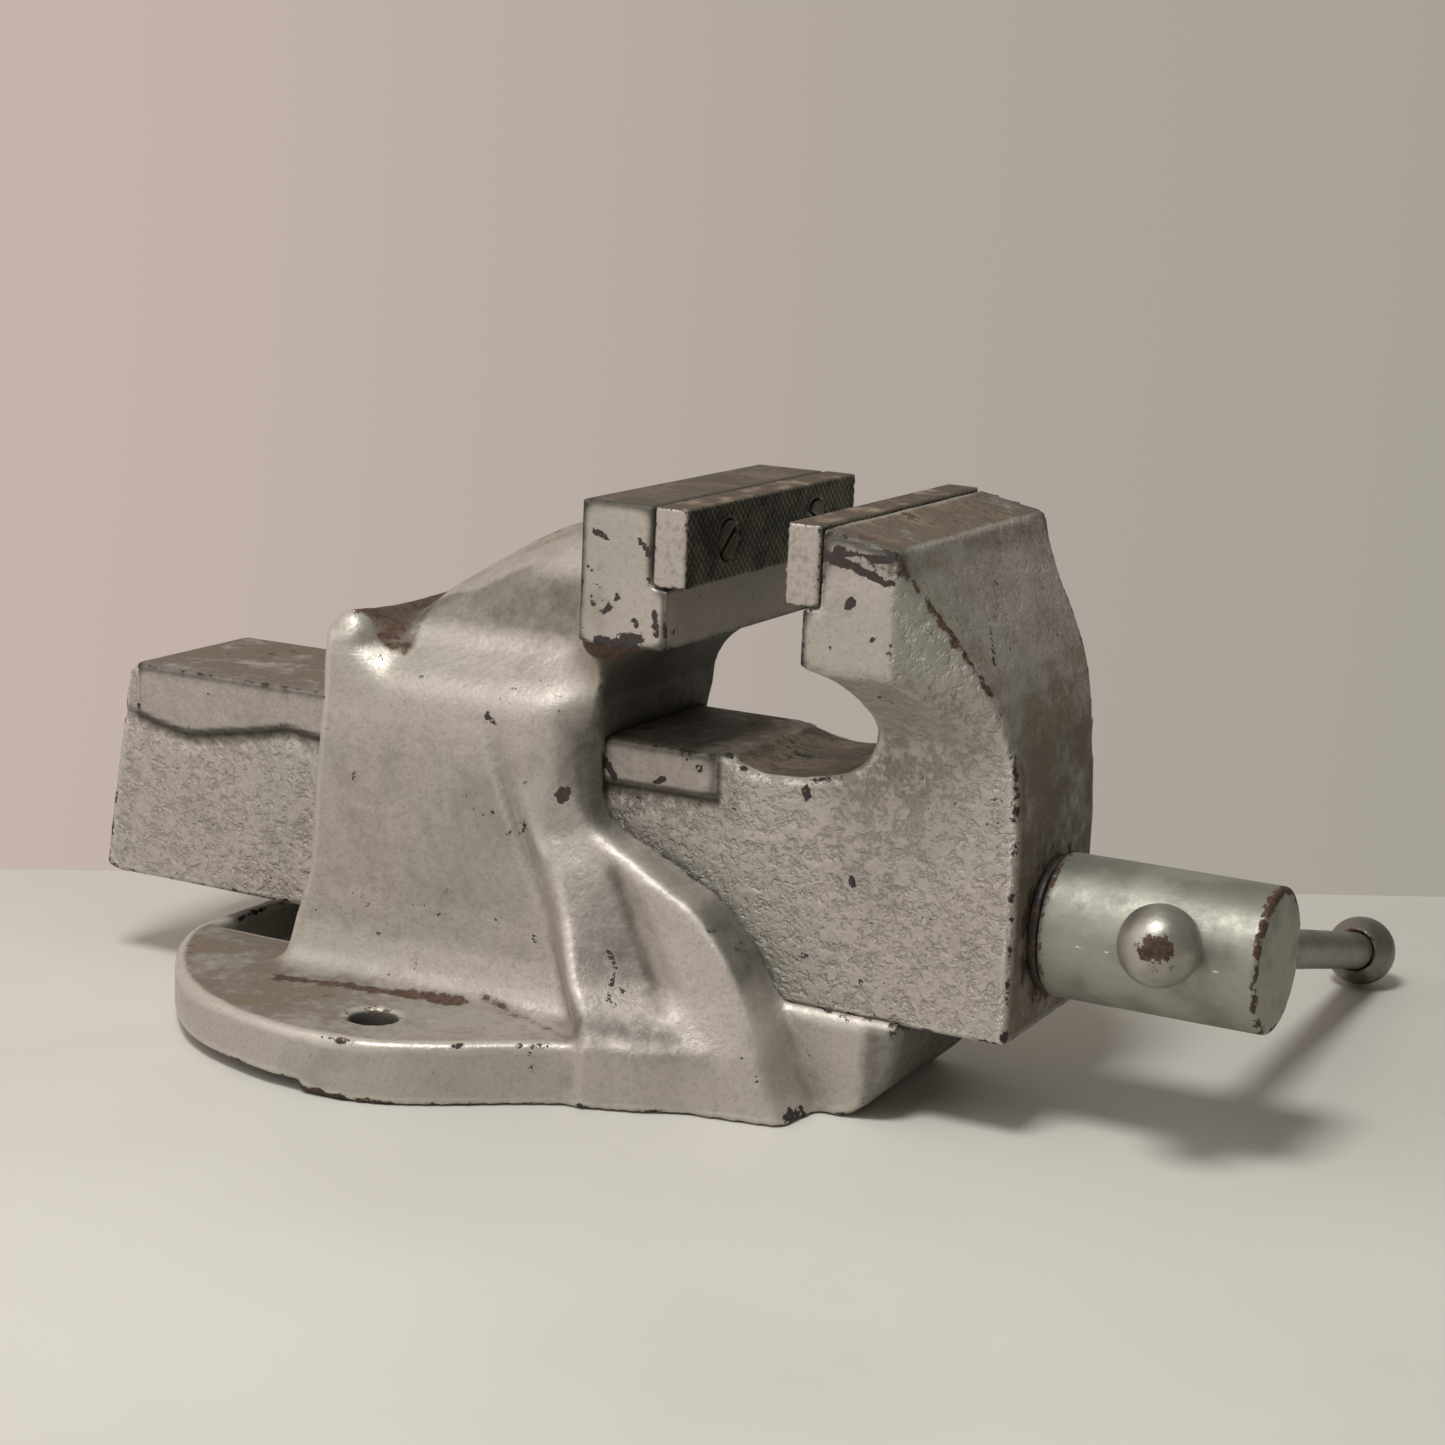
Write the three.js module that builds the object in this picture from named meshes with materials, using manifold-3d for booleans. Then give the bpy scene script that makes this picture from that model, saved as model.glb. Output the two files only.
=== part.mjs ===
// Plain-screw engineer's bench vise, 4 inch jaws, modelled as its separate pieces.
// Millimetres, +Z up. The origin is on the underside of the base, on the centreline,
// directly below the face of the fixed jaw plate. -Y is the handle end, +Y the rear.

import * as THREE from 'three';
import { mergeVertices } from 'three/addons/utils/BufferGeometryUtils.js';
import Module from 'manifold-3d';

// ---------------------------------------------------------------- driving dimensions

const GAP = 0.3; // clearance left wherever two pieces touch
const OPENING = 27.6; // distance between the jaw plates as drawn

const JAW_WIDTH = 100;
const JAW_TOP = 158;
const JAW_BLOCK_DEPTH = 30.9; // from the plate's face to the back of the fixed jaw's block
const JAW_BLOCK_HEIGHT = 37;
const PLATE_HEIGHT = 20.6;
const PLATE_THICKNESS = 9.5;
const PLATE_PROUD = 5.4; // how far a plate stands out from the casting below it
const PLATE_SCREW_SPACING = 52;

const BEAM_WIDTH = 55; // the sliding jaw's beam
const BEAM_TOP = 90.9;
const BEAM_BOTTOM = 26.3;
const BEAM_REAR = 205;
const BEAM_WALL = 9;
const BEAM_ROOF = 13;

const JAW_FRONT = -85.5; // front face of the sliding jaw, which the screw head bears on
const FRONT_WALL = 20; // thickness of the sliding jaw's front wall

const SCREW_AXIS_Z = 53.6;
const SCREW_RADIUS = 12.5;
const SCREW_END = 186;
const HEAD_RADIUS = 19;
const HEAD_FRONT = -146.6;

const BAR_Y = -124;
const BAR_RADIUS = 6.35;
const BALL_RADIUS = 10.6;
const BAR_HALF_SPAN = 101.7; // half the distance between the centres of the two balls

const WALL_HALF_WIDTH = 41; // the body's side walls
const BODY_REAR = 118;
const FLANGE_TOP = 17;
const FLANGE_RELIEF = { from: 85, height: 3 }; // behind this the underside stands clear of the bench
const FLANGE_FRONT = -14;
const THROAT_REAR = 33; // front edge of the bridge, at the back of the fixed jaw's throat
const BOLT_HOLE = { x: 73.6, y: 76, radius: 6.5 };
const NUT = { front: 46, rear: 94, halfWidth: 18, top: 72 };
const BED_BOTTOM = 13; // the bed under the beam is a plate above a hollow
const BED_POCKET = { halfWidth: 24, front: 22, rear: 98 };
const REAR_WINDOW = { halfWidth: 29, front: 104, rear: 161 }; // the open floor behind the bed
const BRIDGE_SHOULDER = 106; // height of the walls' shoulders
const NOSE = { halfWidth: 31, front: -57, top: 27 };
const COLLAR_LIP = { halfWidth: 36, front: 104, foot: 98 }; // the raised lip across the bridge's rear

// ---------------------------------------------------------------- solids and booleans

const wasm = await Module();
wasm.setup();

function solid(geometry) {
  const bare = geometry.index ? geometry.toNonIndexed() : geometry.clone();
  bare.deleteAttribute('normal');
  bare.deleteAttribute('uv');
  const merged = mergeVertices(bare, 1e-4);
  return new wasm.Manifold(new wasm.Mesh({
    numProp: 3,
    vertProperties: new Float32Array(merged.attributes.position.array),
    triVerts: new Uint32Array(merged.index.array),
  }));
}

function join(...solids) {
  return solids.reduce((total, next) => total.add(next));
}

function cut(base, ...tools) {
  return tools.reduce((total, next) => total.subtract(next), base);
}

function toGeometry(manifold) {
  const mesh = manifold.getMesh();
  const geometry = new THREE.BufferGeometry();
  const stride = mesh.numProp;
  const count = mesh.vertProperties.length / stride;
  const positions = new Float32Array(count * 3);
  for (let i = 0; i < count; i++) {
    for (let k = 0; k < 3; k++) {
      positions[3 * i + k] = mesh.vertProperties[stride * i + k];
    }
  }
  geometry.setAttribute('position', new THREE.BufferAttribute(positions, 3));
  geometry.setIndex(new THREE.BufferAttribute(new Uint32Array(mesh.triVerts), 1));
  geometry.computeVertexNormals();
  return geometry;
}

function box(x0, x1, y0, y1, z0, z1) {
  const geometry = new THREE.BoxGeometry(x1 - x0, y1 - y0, z1 - z0);
  geometry.translate((x0 + x1) / 2, (y0 + y1) / 2, (z0 + z1) / 2);
  return solid(geometry);
}

// A cylinder along an axis, from one point to another.
function rod(from, to, radius, sides = 32, endRadius = radius) {
  const start = new THREE.Vector3(...from);
  const end = new THREE.Vector3(...to);
  const length = start.distanceTo(end);
  const geometry = new THREE.CylinderGeometry(endRadius, radius, length, sides);
  const direction = end.clone().sub(start).normalize();
  const turn = new THREE.Quaternion().setFromUnitVectors(new THREE.Vector3(0, 1, 0), direction);
  geometry.applyQuaternion(turn);
  geometry.translate(...start.add(end).multiplyScalar(0.5).toArray());
  return solid(geometry);
}

function outline(points) {
  return new THREE.Shape(points.map(([u, v]) => new THREE.Vector2(u, v)));
}

function extruded(points, depth) {
  return new THREE.ExtrudeGeometry(outline(points), { depth, bevelEnabled: false });
}

// A side outline (y, z) carried across the width, from x0 to x1.
function acrossX(points, x0, x1) {
  const geometry = extruded(points, x1 - x0);
  const basis = new THREE.Matrix4().makeBasis(
    new THREE.Vector3(0, 1, 0),
    new THREE.Vector3(0, 0, 1),
    new THREE.Vector3(1, 0, 0),
  );
  geometry.applyMatrix4(basis);
  geometry.translate(x0, 0, 0);
  return solid(geometry);
}

// A front outline (x, z) carried along the vise, from y0 to y1.
function alongY(points, y0, y1) {
  const geometry = extruded(points, y1 - y0);
  const basis = new THREE.Matrix4().makeBasis(
    new THREE.Vector3(1, 0, 0),
    new THREE.Vector3(0, 0, 1),
    new THREE.Vector3(0, -1, 0),
  );
  geometry.applyMatrix4(basis);
  geometry.translate(0, y1, 0);
  return solid(geometry);
}

// A plan outline (x, y) carried up from z0 to z1.
function upZ(points, z0, z1) {
  const geometry = extruded(points, z1 - z0);
  geometry.translate(0, 0, z0);
  return solid(geometry);
}

// A closed solid skinned over rings of points, each ring with the same count.
function loft(rings) {
  const count = rings[0].length;
  const positions = [];
  const index = [];
  for (const ring of rings) {
    for (const point of ring) {
      positions.push(...point);
    }
  }
  for (let r = 0; r + 1 < rings.length; r++) {
    for (let i = 0; i < count; i++) {
      const a = r * count + i;
      const b = r * count + ((i + 1) % count);
      index.push(a, b, b + count);
      index.push(a, b + count, a + count);
    }
  }
  const last = (rings.length - 1) * count;
  for (let i = 1; i + 1 < count; i++) {
    index.push(0, i + 1, i);
    index.push(last, last + i, last + i + 1);
  }
  const geometry = new THREE.BufferGeometry();
  geometry.setAttribute('position', new THREE.BufferAttribute(new Float32Array(positions), 3));
  geometry.setIndex(index);
  return facingOut(geometry);
}

// The solid of a closed surface, whichever way round its triangles were listed.
function facingOut(geometry) {
  const made = solid(geometry);
  return made.volume() < 0 ? solid(flipped(geometry)) : made;
}

function flipped(geometry) {
  const copy = geometry.toNonIndexed();
  const position = copy.attributes.position;
  for (let i = 0; i < position.count; i += 3) {
    for (let k = 0; k < 3; k++) {
      const held = position.array[3 * i + k];
      position.array[3 * i + k] = position.array[3 * (i + 1) + k];
      position.array[3 * (i + 1) + k] = held;
    }
  }
  return copy;
}

// Points along a smooth curve through the given points.
function smooth(points, steps) {
  const curve = new THREE.SplineCurve(points.map(([u, v]) => new THREE.Vector2(u, v)));
  return curve.getPoints(steps).map((p) => [p.x, p.y]);
}

// A body of revolution about a line along Y at x = 0, z = SCREW_AXIS_Z; profile is (radius, y).
function turnedAboutScrew(profile, sides = 40) {
  const geometry = new THREE.LatheGeometry(profile.map(([r, y]) => new THREE.Vector2(r, y)), sides);
  geometry.translate(0, 0, SCREW_AXIS_Z);
  return facingOut(geometry);
}

// ---------------------------------------------------------------- materials

function material(color, roughness, metalness) {
  return new THREE.MeshStandardMaterial({ color, roughness, metalness });
}

const silverPaint = material(0xa7a199, 0.45, 0.6);
const jawSteel = material(0x4d4f45, 0.5, 0.8);
const plainSteel = material(0x8b8880, 0.4, 0.9);
const rustySteel = material(0x6b5547, 0.7, 0.6);
const springSteel = material(0x5a5a58, 0.4, 0.9);
const nutIron = material(0x5f5a52, 0.6, 0.6);

const group = new THREE.Group();

function add(name, made, look) {
  const mesh = new THREE.Mesh(toGeometry(made), look);
  mesh.name = name;
  group.add(mesh);
}

// ---------------------------------------------------------------- shared jaw details

const plateBottom = JAW_TOP - PLATE_HEIGHT;
const screwHeight = JAW_TOP - PLATE_HEIGHT / 2;
const plateScrewXs = { left: -PLATE_SCREW_SPACING / 2, right: PLATE_SCREW_SPACING / 2 };
const SCREW_SHANK_RADIUS = 3;
const SCREW_HEAD_RADIUS = 6.2;
const SCREW_HEAD_DEPTH = 4;
const SCREW_LENGTH = 20;
const SLOT_WIDTH = 1.6;
const SLOT_DEPTH = 2;

// Everything in a jaw's bite is built for the fixed jaw, whose face is at y = 0 and whose
// casting lies towards +Y; bite -1 mirrors it for the moving jaw.
function biteY(bite, depth) {
  return bite > 0 ? depth : -OPENING - depth;
}

function biteRod(bite, x, depth0, depth1, radius0, radius1, sides) {
  const from = [x, biteY(bite, depth0), screwHeight];
  const to = [x, biteY(bite, depth1), screwHeight];
  return rod(from, to, radius0, sides, radius1);
}

function countersunk(bite, x, spare) {
  const head = biteRod(bite, x, -spare, SCREW_HEAD_DEPTH + spare,
    SCREW_HEAD_RADIUS + spare, SCREW_SHANK_RADIUS + spare, 28);
  const shank = biteRod(bite, x, 0.5, SCREW_LENGTH + spare,
    SCREW_SHANK_RADIUS + spare, SCREW_SHANK_RADIUS + spare, 28);
  return join(head, shank);
}

function jawPlate(bite) {
  const ys = [biteY(bite, 0), biteY(bite, PLATE_THICKNESS)].sort((a, b) => a - b);
  let plate = box(-JAW_WIDTH / 2, JAW_WIDTH / 2, ys[0], ys[1], plateBottom, JAW_TOP);
  for (const x of Object.values(plateScrewXs)) {
    plate = cut(plate, countersunk(bite, x, GAP));
  }
  return plate;
}

function plateScrew(bite, x) {
  const sink = GAP; // the head sits just below the plate's face
  const head = biteRod(bite, x, sink, SCREW_HEAD_DEPTH, SCREW_HEAD_RADIUS - sink, SCREW_SHANK_RADIUS, 28);
  const shank = biteRod(bite, x, 0.5, SCREW_LENGTH, SCREW_SHANK_RADIUS, SCREW_SHANK_RADIUS, 28);
  const slotYs = [biteY(bite, -1), biteY(bite, SLOT_DEPTH)].sort((a, b) => a - b);
  const slot = box(x - SCREW_HEAD_RADIUS - 1, x + SCREW_HEAD_RADIUS + 1, slotYs[0], slotYs[1],
    screwHeight - SLOT_WIDTH / 2, screwHeight + SLOT_WIDTH / 2);
  return cut(join(head, shank), slot);
}

// The rebate that the plate sits in and the two tapped holes behind it.
function biteCuts(bite) {
  const ys = [biteY(bite, -5), biteY(bite, PLATE_THICKNESS + GAP)].sort((a, b) => a - b);
  const half = JAW_WIDTH / 2 + 5;
  const rebate = box(-half, half, ys[0], ys[1], plateBottom - GAP, JAW_TOP + 5);
  const holes = Object.values(plateScrewXs).map((x) => biteRod(bite, x, PLATE_THICKNESS - 1,
    SCREW_LENGTH + 2, SCREW_SHANK_RADIUS + GAP, SCREW_SHANK_RADIUS + GAP, 28));
  return join(rebate, ...holes);
}

// ---------------------------------------------------------------- body casting

// The front edge of the body's walls, from the ground up to the fixed jaw's throat.
const frontEdge = smooth([
  [-31, 0], [-28, 12], [-24, 25], [-19, 34], [-11, 46], [0, 54.5], [14, 61.5],
  [26, 66.5], [32, 72.5], [THROAT_REAR, 80],
], 18);

// The round throat under the fixed jaw, from the bridge's front edge up to the casting's face.
const throatArc = smooth([
  [THROAT_REAR, 98], [THROAT_REAR - 0.5, 104], [29, 111], [20.5, 117], [12, 120.3], [PLATE_PROUD, 122.5],
], 10);

function sideWalls() {
  const rear = [[BODY_REAR + 8, 0], [BODY_REAR + 8, FLANGE_TOP], [BODY_REAR + 3, 28], [BODY_REAR, 45]];
  const crown = [[BODY_REAR, BRIDGE_SHOULDER], [THROAT_REAR, BRIDGE_SHOULDER]];
  const side = [...rear, ...crown, ...frontEdge.slice().reverse()];
  return acrossX(side.reverse(), -WALL_HALF_WIDTH, WALL_HALF_WIDTH);
}

// The walls' front edges thicken into a rolled rim that widens towards the ground.
function frontRims() {
  const rimDepth = 9;
  const rimTop = 66;
  const proud = 0.6;
  const spread = 7; // how much wider the rim is at the ground
  const droop = 0.7 * rimDepth;
  const points = frontEdge.filter(([, z]) => z < rimTop);
  const rings = points.map(([y, z]) => {
    const half = WALL_HALF_WIDTH + spread * (1 - z / rimTop);
    const back = [y + rimDepth, z - droop];
    return [[-half, y - proud, z], [half, y - proud, z], [half, ...back], [-half, ...back]];
  });
  return cut(loft(rings), box(-100, 100, -100, 100, -50, 0));
}

// The column of metal that carries each wall down into the front of the flange. It leans back
// as it rises, and its spread beyond the wall dies away.
function columns() {
  const foot = [[60, -2], [63, 14], [66, 24], [58, 36], [44, 52], [30, 56], [30, -6], [48, -7]];
  const levels = [[0, 1.0], [FLANGE_TOP, 0.94], [34, 0.6], [60, 0.25], [84, 0.02]];
  const lean = 0.42;
  const ringAt = (side, z, spread) => foot.map(([x, y]) => {
    const beyond = Math.max(x - WALL_HALF_WIDTH, 0);
    return [side * (Math.min(x, WALL_HALF_WIDTH) + beyond * spread), y + lean * z, z];
  });
  return join(...[1, -1].map((side) => loft(levels.map(([z, spread]) => ringAt(side, z, spread)))));
}

// The upper body: a web that falls from the fixed jaw to the rear of the bridge, flaring out
// over the walls' shoulders. Each station is y, top z, half width at the top and at the waist.
function upperWeb() {
  const stations = [
    [JAW_BLOCK_DEPTH - 2, 149, 40, 45, 44], [36, 148, 30, 38, 43], [44, 146, 20, 29, WALL_HALF_WIDTH],
    [56, 142.5, 13, 22, WALL_HALF_WIDTH], [70, 137, 13, 20, WALL_HALF_WIDTH],
    [84, 129, 13, 20, WALL_HALF_WIDTH], [98, 119.5, 13, 21, WALL_HALF_WIDTH],
    [BODY_REAR, 110, 13, 24, WALL_HALF_WIDTH],
  ];
  const root = 95;
  const bend = 3; // half the height of the chamfer along each shoulder
  const waistTop = 112;
  const shoulder = BRIDGE_SHOULDER - bend;
  const rings = stations.map(([y, top, crown, waist, foot]) => {
    const waistZ = Math.min(top - 2, waistTop);
    const wall = [[foot, root], [foot, shoulder - bend], [foot - bend - 1, shoulder + bend]];
    const half = [...wall, [waist, waistZ], [crown, top]];
    const right = half.map(([x, z]) => [x, y, z]);
    const left = half.slice().reverse().map(([x, z]) => [-x, y, z]);
    return [...right, ...left];
  });
  return loft(rings);
}

// A raised collar across the rear end of the bridge.
function rearCollar() {
  const { halfWidth, front, foot } = COLLAR_LIP;
  const side = smooth([[front, 108], [108, 115], [112, 117.5], [116, 115], [BODY_REAR, 108]], 10);
  const profile = [[BODY_REAR, foot], ...side.slice().reverse(), [front, foot]];
  return acrossX(profile.reverse(), -halfWidth, halfWidth);
}

// The block that carries the fixed jaw plate and the flanks that draw it in to the walls.
function jawBlock() {
  const half = JAW_WIDTH / 2;
  const bottom = JAW_TOP - JAW_BLOCK_HEIGHT;
  const block = box(-half, half, PLATE_PROUD, JAW_BLOCK_DEPTH, bottom, JAW_TOP);
  // The flanks below the block: height, half width, and how far back they reach.
  const levels = [
    [bottom + 1, half, JAW_BLOCK_DEPTH], [114, 47, 33], [108, 44, 37], [101, 41.5, 42],
    [84, WALL_HALF_WIDTH, 46],
  ];
  const rings = levels.map(([z, x, y]) => [[x, PLATE_PROUD, z], [x, y, z], [-x, y, z], [-x, PLATE_PROUD, z]]);
  return join(block, loft(rings));
}

// Everything in front of the bridge and under the fixed jaw is open across the full width.
function throat() {
  const top = 122.5;
  const bottom = 70;
  const ahead = -20;
  const beyond = 80;
  const arc = throatArc.slice().reverse();
  const side = [[ahead, top], [PLATE_PROUD, top], ...arc, [THROAT_REAR, bottom], [ahead, bottom]];
  return acrossX(side.reverse(), -beyond, beyond);
}

function flangePlan() {
  const half = [
    [0, 167], [30, 166], [39, 164], [49, 159.5], [62, 151], [72, 142.5], [80, 133], [86, 124], [90.5, 113],
    [93.5, 100], [95, 86], [94, 72], [90, 60], [82, 47], [73, 35], [65, 23], [61, 12], [57, 2], [50, -8],
    [44, FLANGE_FRONT], [0, FLANGE_FRONT],
  ];
  const left = half.slice(1, -1).reverse().map(([x, y]) => [-x, y]);
  return [...half, ...left].reverse();
}

function flange() {
  const plate = upZ(flangePlan(), 0, FLANGE_TOP);
  const relief = box(-120, 120, FLANGE_RELIEF.from, 200, -1, FLANGE_RELIEF.height);
  const { x, y, radius } = BOLT_HOLE;
  const holes = [-x, x].map((at) => rod([at, y, -1], [at, y, FLANGE_TOP + 1], radius, 28));
  return cut(plate, relief, rearWindow(), ...holes);
}

function nose() {
  const { halfWidth, front, top } = NOSE;
  const rounded = smooth([[front, 20], [-54, 11], [-49.5, 5.2], [-42, 0]], 6);
  const side = [[0, 0], [0, top], [front, top], ...rounded];
  return acrossX(side.reverse(), -halfWidth, halfWidth);
}

function bodyCasting() {
  const outer = join(sideWalls(), frontRims(), columns(), upperWeb(), rearCollar(), jawBlock(), nose());
  const trimmed = cut(outer, throat(), rearWindow());
  const whole = join(trimmed, flange());
  const channelHalf = BEAM_WIDTH / 2 + GAP;
  const channel = box(-channelHalf, channelHalf, -100, 200, BEAM_BOTTOM - GAP, BEAM_TOP + GAP);
  return cut(whole, channel, undersidePocket(), biteCuts(1), nutSeat());
}

// Behind the bed, the floor between the walls is open right through the base.
function rearWindow() {
  const { halfWidth, front, rear } = REAR_WINDOW;
  return box(-halfWidth, halfWidth, front, rear, -1, BEAM_BOTTOM);
}

// The hollow under the bed, which leaves room for the nut bolt's head.
function undersidePocket() {
  const { halfWidth, front, rear } = BED_POCKET;
  return box(-halfWidth, halfWidth, front, rear, -1, BED_BOTTOM);
}

const NUT_BOLT_RADIUS = 6;
const nutBoltY = (NUT.front + NUT.rear) / 2;

function nutSeat() {
  return rod([0, nutBoltY, 0], [0, nutBoltY, BEAM_BOTTOM + 1], NUT_BOLT_RADIUS + GAP, 28);
}

add('body_casting', bodyCasting(), silverPaint);

// ---------------------------------------------------------------- sliding jaw casting

const jawBlockBottom = JAW_TOP - JAW_BLOCK_HEIGHT + 0.6;
const jawBlockFront = -57; // the front of the machined side faces
const jawFrontTop = 153.4; // the casting's top slopes down to here from behind the plate

// The scoop under the moving jaw: it dips into the beam's top and curls up to the jaw.
const scoop = smooth([
  [-1.8, BEAM_TOP], [-6, 88.9], [-15, 87.4], [-27, 88.4], [-37, 91.2], [-43, 96.5], [-45.6, 104],
  [-44.6, 112], [-40.5, 118.5], [biteY(-1, PLATE_PROUD), jawBlockBottom],
], 20);

// The jaw's curved front, from the beam's front face up to the top edge: z, y and the half
// width of the front face, which broadens until it meets the machined sides.
const ridge = [
  [78, JAW_FRONT, 27.5], [91, -84.6, 27.5], [102.4, -83.2, 28.6], [109, -81.5, 30], [115, -79.5, 32],
  [121.5, -76.4, 34.5], [125.5, -74.2, 36], [131, -70.6, 38.2], [137, -66.3, 40.5], [147, -59.9, 46],
  [jawFrontTop, jawBlockFront - 0.2, 50],
];

// Half width of the casting at height z: the beam's, flaring out to the jaw's.
const FLANK_START = { z: 103, y: -75, half: 28.8 }; // where the flanks begin to run in to the ridge
const flare = [
  [97, BEAM_WIDTH / 2], [FLANK_START.z, FLANK_START.half], [108.5, 33.5], [115, 41.5],
  [jawBlockBottom, JAW_WIDTH / 2],
];

function jawSide() {
  const rear = [[BEAM_REAR, BEAM_BOTTOM + 4], [BEAM_REAR - 8, 86], [BEAM_REAR - 11, BEAM_TOP]];
  const foot = [[JAW_FRONT, BEAM_BOTTOM], [BEAM_REAR - 4, BEAM_BOTTOM]];
  const top = [[biteY(-1, PLATE_PROUD), JAW_TOP - 0.4], [biteY(-1, PLATE_THICKNESS), JAW_TOP - 0.4]];
  const front = ridge.slice().reverse().map(([z, y]) => [y, z]);
  return acrossX([...foot, ...rear, ...scoop, ...top, ...front], -JAW_WIDTH / 2, JAW_WIDTH / 2);
}

function jawFrontView() {
  const flareOut = flare.map(([z, x]) => [x, z]);
  const half = [[BEAM_WIDTH / 2, BEAM_BOTTOM - 5], ...flareOut, [JAW_WIDTH / 2, JAW_TOP + 5]];
  const left = half.slice().reverse().map(([x, z]) => [-x, z]);
  return alongY([...half, ...left], JAW_FRONT - 5, BEAM_REAR + 5);
}

// What is taken off each side so that the flanks run in from the machined sides to the ridge.
function flankCut(side) {
  const { z: low, y: lowY, half: lowHalf } = FLANK_START;
  const clear = { x: 70, y: -100 }; // well outside the casting
  const rings = ridge.filter(([z]) => z > 100).map(([z, y, half]) => {
    const climb = (z - low) / (jawBlockBottom - low);
    const outer = Math.min(JAW_WIDTH / 2, lowHalf + (JAW_WIDTH / 2 - lowHalf) * Math.max(0, climb));
    const start = Math.min(jawBlockFront, lowY + (jawBlockFront - lowY) * climb);
    const plan = [[half, y], [outer, start], [clear.x, start], [clear.x, clear.y], [half, clear.y]];
    return plan.map(([x, at]) => [side * x, at, z]);
  });
  const top = rings[rings.length - 1].map(([x, y]) => [x, y, JAW_TOP + 5]);
  return loft([...rings, top]);
}

function beamHollow() {
  const inside = BEAM_WIDTH / 2 - BEAM_WALL;
  const from = JAW_FRONT + FRONT_WALL;
  return box(-inside, inside, from, BEAM_REAR + 5, BEAM_BOTTOM - 5, BEAM_TOP - BEAM_ROOF);
}

function slidingJawCasting() {
  const whole = jawSide().intersect(jawFrontView());
  const outside = JAW_FRONT - 5;
  const inside = JAW_FRONT + FRONT_WALL + 5;
  const bore = rod([0, outside, SCREW_AXIS_Z], [0, inside, SCREW_AXIS_Z], SCREW_RADIUS + GAP);
  const oilHole = rod([0, -12, BEAM_TOP - BEAM_ROOF - 2], [0, -12, BEAM_TOP + 2], 2.2, 20);
  return cut(whole, flankCut(1), flankCut(-1), beamHollow(), bore, oilHole, biteCuts(-1));
}

add('sliding_jaw_casting', slidingJawCasting(), silverPaint);

// ---------------------------------------------------------------- jaw plates and their screws

add('fixed_jaw_plate', jawPlate(1), jawSteel);
add('moving_jaw_plate', jawPlate(-1), jawSteel);
for (const [side, x] of Object.entries(plateScrewXs)) {
  add(`fixed_plate_screw_${side}`, plateScrew(1, x), rustySteel);
  add(`moving_plate_screw_${side}`, plateScrew(-1, x), rustySteel);
}

// ---------------------------------------------------------------- main screw and what it carries

const WASHER_THICKNESS = 2.4;
const headBack = JAW_FRONT - WASHER_THICKNESS - 2 * GAP;
const wallInside = JAW_FRONT + FRONT_WALL;
const springStart = wallInside + WASHER_THICKNESS + 2 * GAP;
const SPRING_LENGTH = 16;
const COLLAR_LENGTH = 12;
const COLLAR_RADIUS = 17.5;
const collarStart = springStart + SPRING_LENGTH + 2 * GAP;
const collarPinY = collarStart + COLLAR_LENGTH / 2;
const COLLAR_PIN_RADIUS = 2.5;

// The bar leans down towards +X, so that its far ball just clears the bench.
const nearReach = HEAD_RADIUS + 8.6; // from the screw's axis to the near ball's centre
const farReach = 2 * BAR_HALF_SPAN - nearReach;
const lean = Math.asin((SCREW_AXIS_Z - BALL_RADIUS - GAP) / farReach);

function alongBar(distance) {
  return [distance * Math.cos(lean), BAR_Y, SCREW_AXIS_Z - distance * Math.sin(lean)];
}

function mainScrew() {
  const chamfer = 1.2;
  const point = 3; // bevel at the screw's far end
  const head = [[0, HEAD_FRONT], [HEAD_RADIUS - chamfer, HEAD_FRONT], [HEAD_RADIUS, HEAD_FRONT + chamfer]];
  const shoulder = [[HEAD_RADIUS, headBack], [SCREW_RADIUS, headBack]];
  const end = [[SCREW_RADIUS, SCREW_END - point], [SCREW_RADIUS - point, SCREW_END], [0, SCREW_END]];
  const body = turnedAboutScrew([...head, ...shoulder, ...end], 48);
  const barHole = rod(alongBar(-HEAD_RADIUS - 5), alongBar(HEAD_RADIUS + 5), BAR_RADIUS + GAP, 32);
  const pinHole = rod([0, collarPinY, SCREW_AXIS_Z - 30], [0, collarPinY, SCREW_AXIS_Z + 30],
    COLLAR_PIN_RADIUS + GAP, 20);
  return cut(body, barHole, pinHole);
}

function ring(y0, y1, outer, inner) {
  return turnedAboutScrew([[inner, y0], [outer, y0], [outer, y1], [inner, y1], [inner, y0]], 36);
}

function washer(y, outer) {
  return ring(y, y + WASHER_THICKNESS, outer, SCREW_RADIUS + GAP);
}

class Coil extends THREE.Curve {
  constructor(y0, y1, radius, turns) {
    super();
    Object.assign(this, { y0, y1, radius, turns });
  }

  getPoint(t, target = new THREE.Vector3()) {
    const angle = 2 * Math.PI * this.turns * t;
    const y = this.y0 + (this.y1 - this.y0) * t;
    return target.set(this.radius * Math.cos(angle), y, SCREW_AXIS_Z + this.radius * Math.sin(angle));
  }
}

function spring() {
  const wire = 1.5;
  const section = new THREE.Shape();
  section.absarc(0, 0, wire, 0, 2 * Math.PI, false);
  const path = new Coil(springStart + wire, springStart + SPRING_LENGTH - wire, 15, 3.5);
  const options = { steps: 84, curveSegments: 4, bevelEnabled: false, extrudePath: path };
  return solid(new THREE.ExtrudeGeometry(section, options));
}

function retainingCollar() {
  const collar = ring(collarStart, collarStart + COLLAR_LENGTH, COLLAR_RADIUS, SCREW_RADIUS + GAP);
  const hole = rod([0, collarPinY, SCREW_AXIS_Z - 30], [0, collarPinY, SCREW_AXIS_Z + 30],
    COLLAR_PIN_RADIUS + GAP, 20);
  return cut(collar, hole);
}

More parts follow.
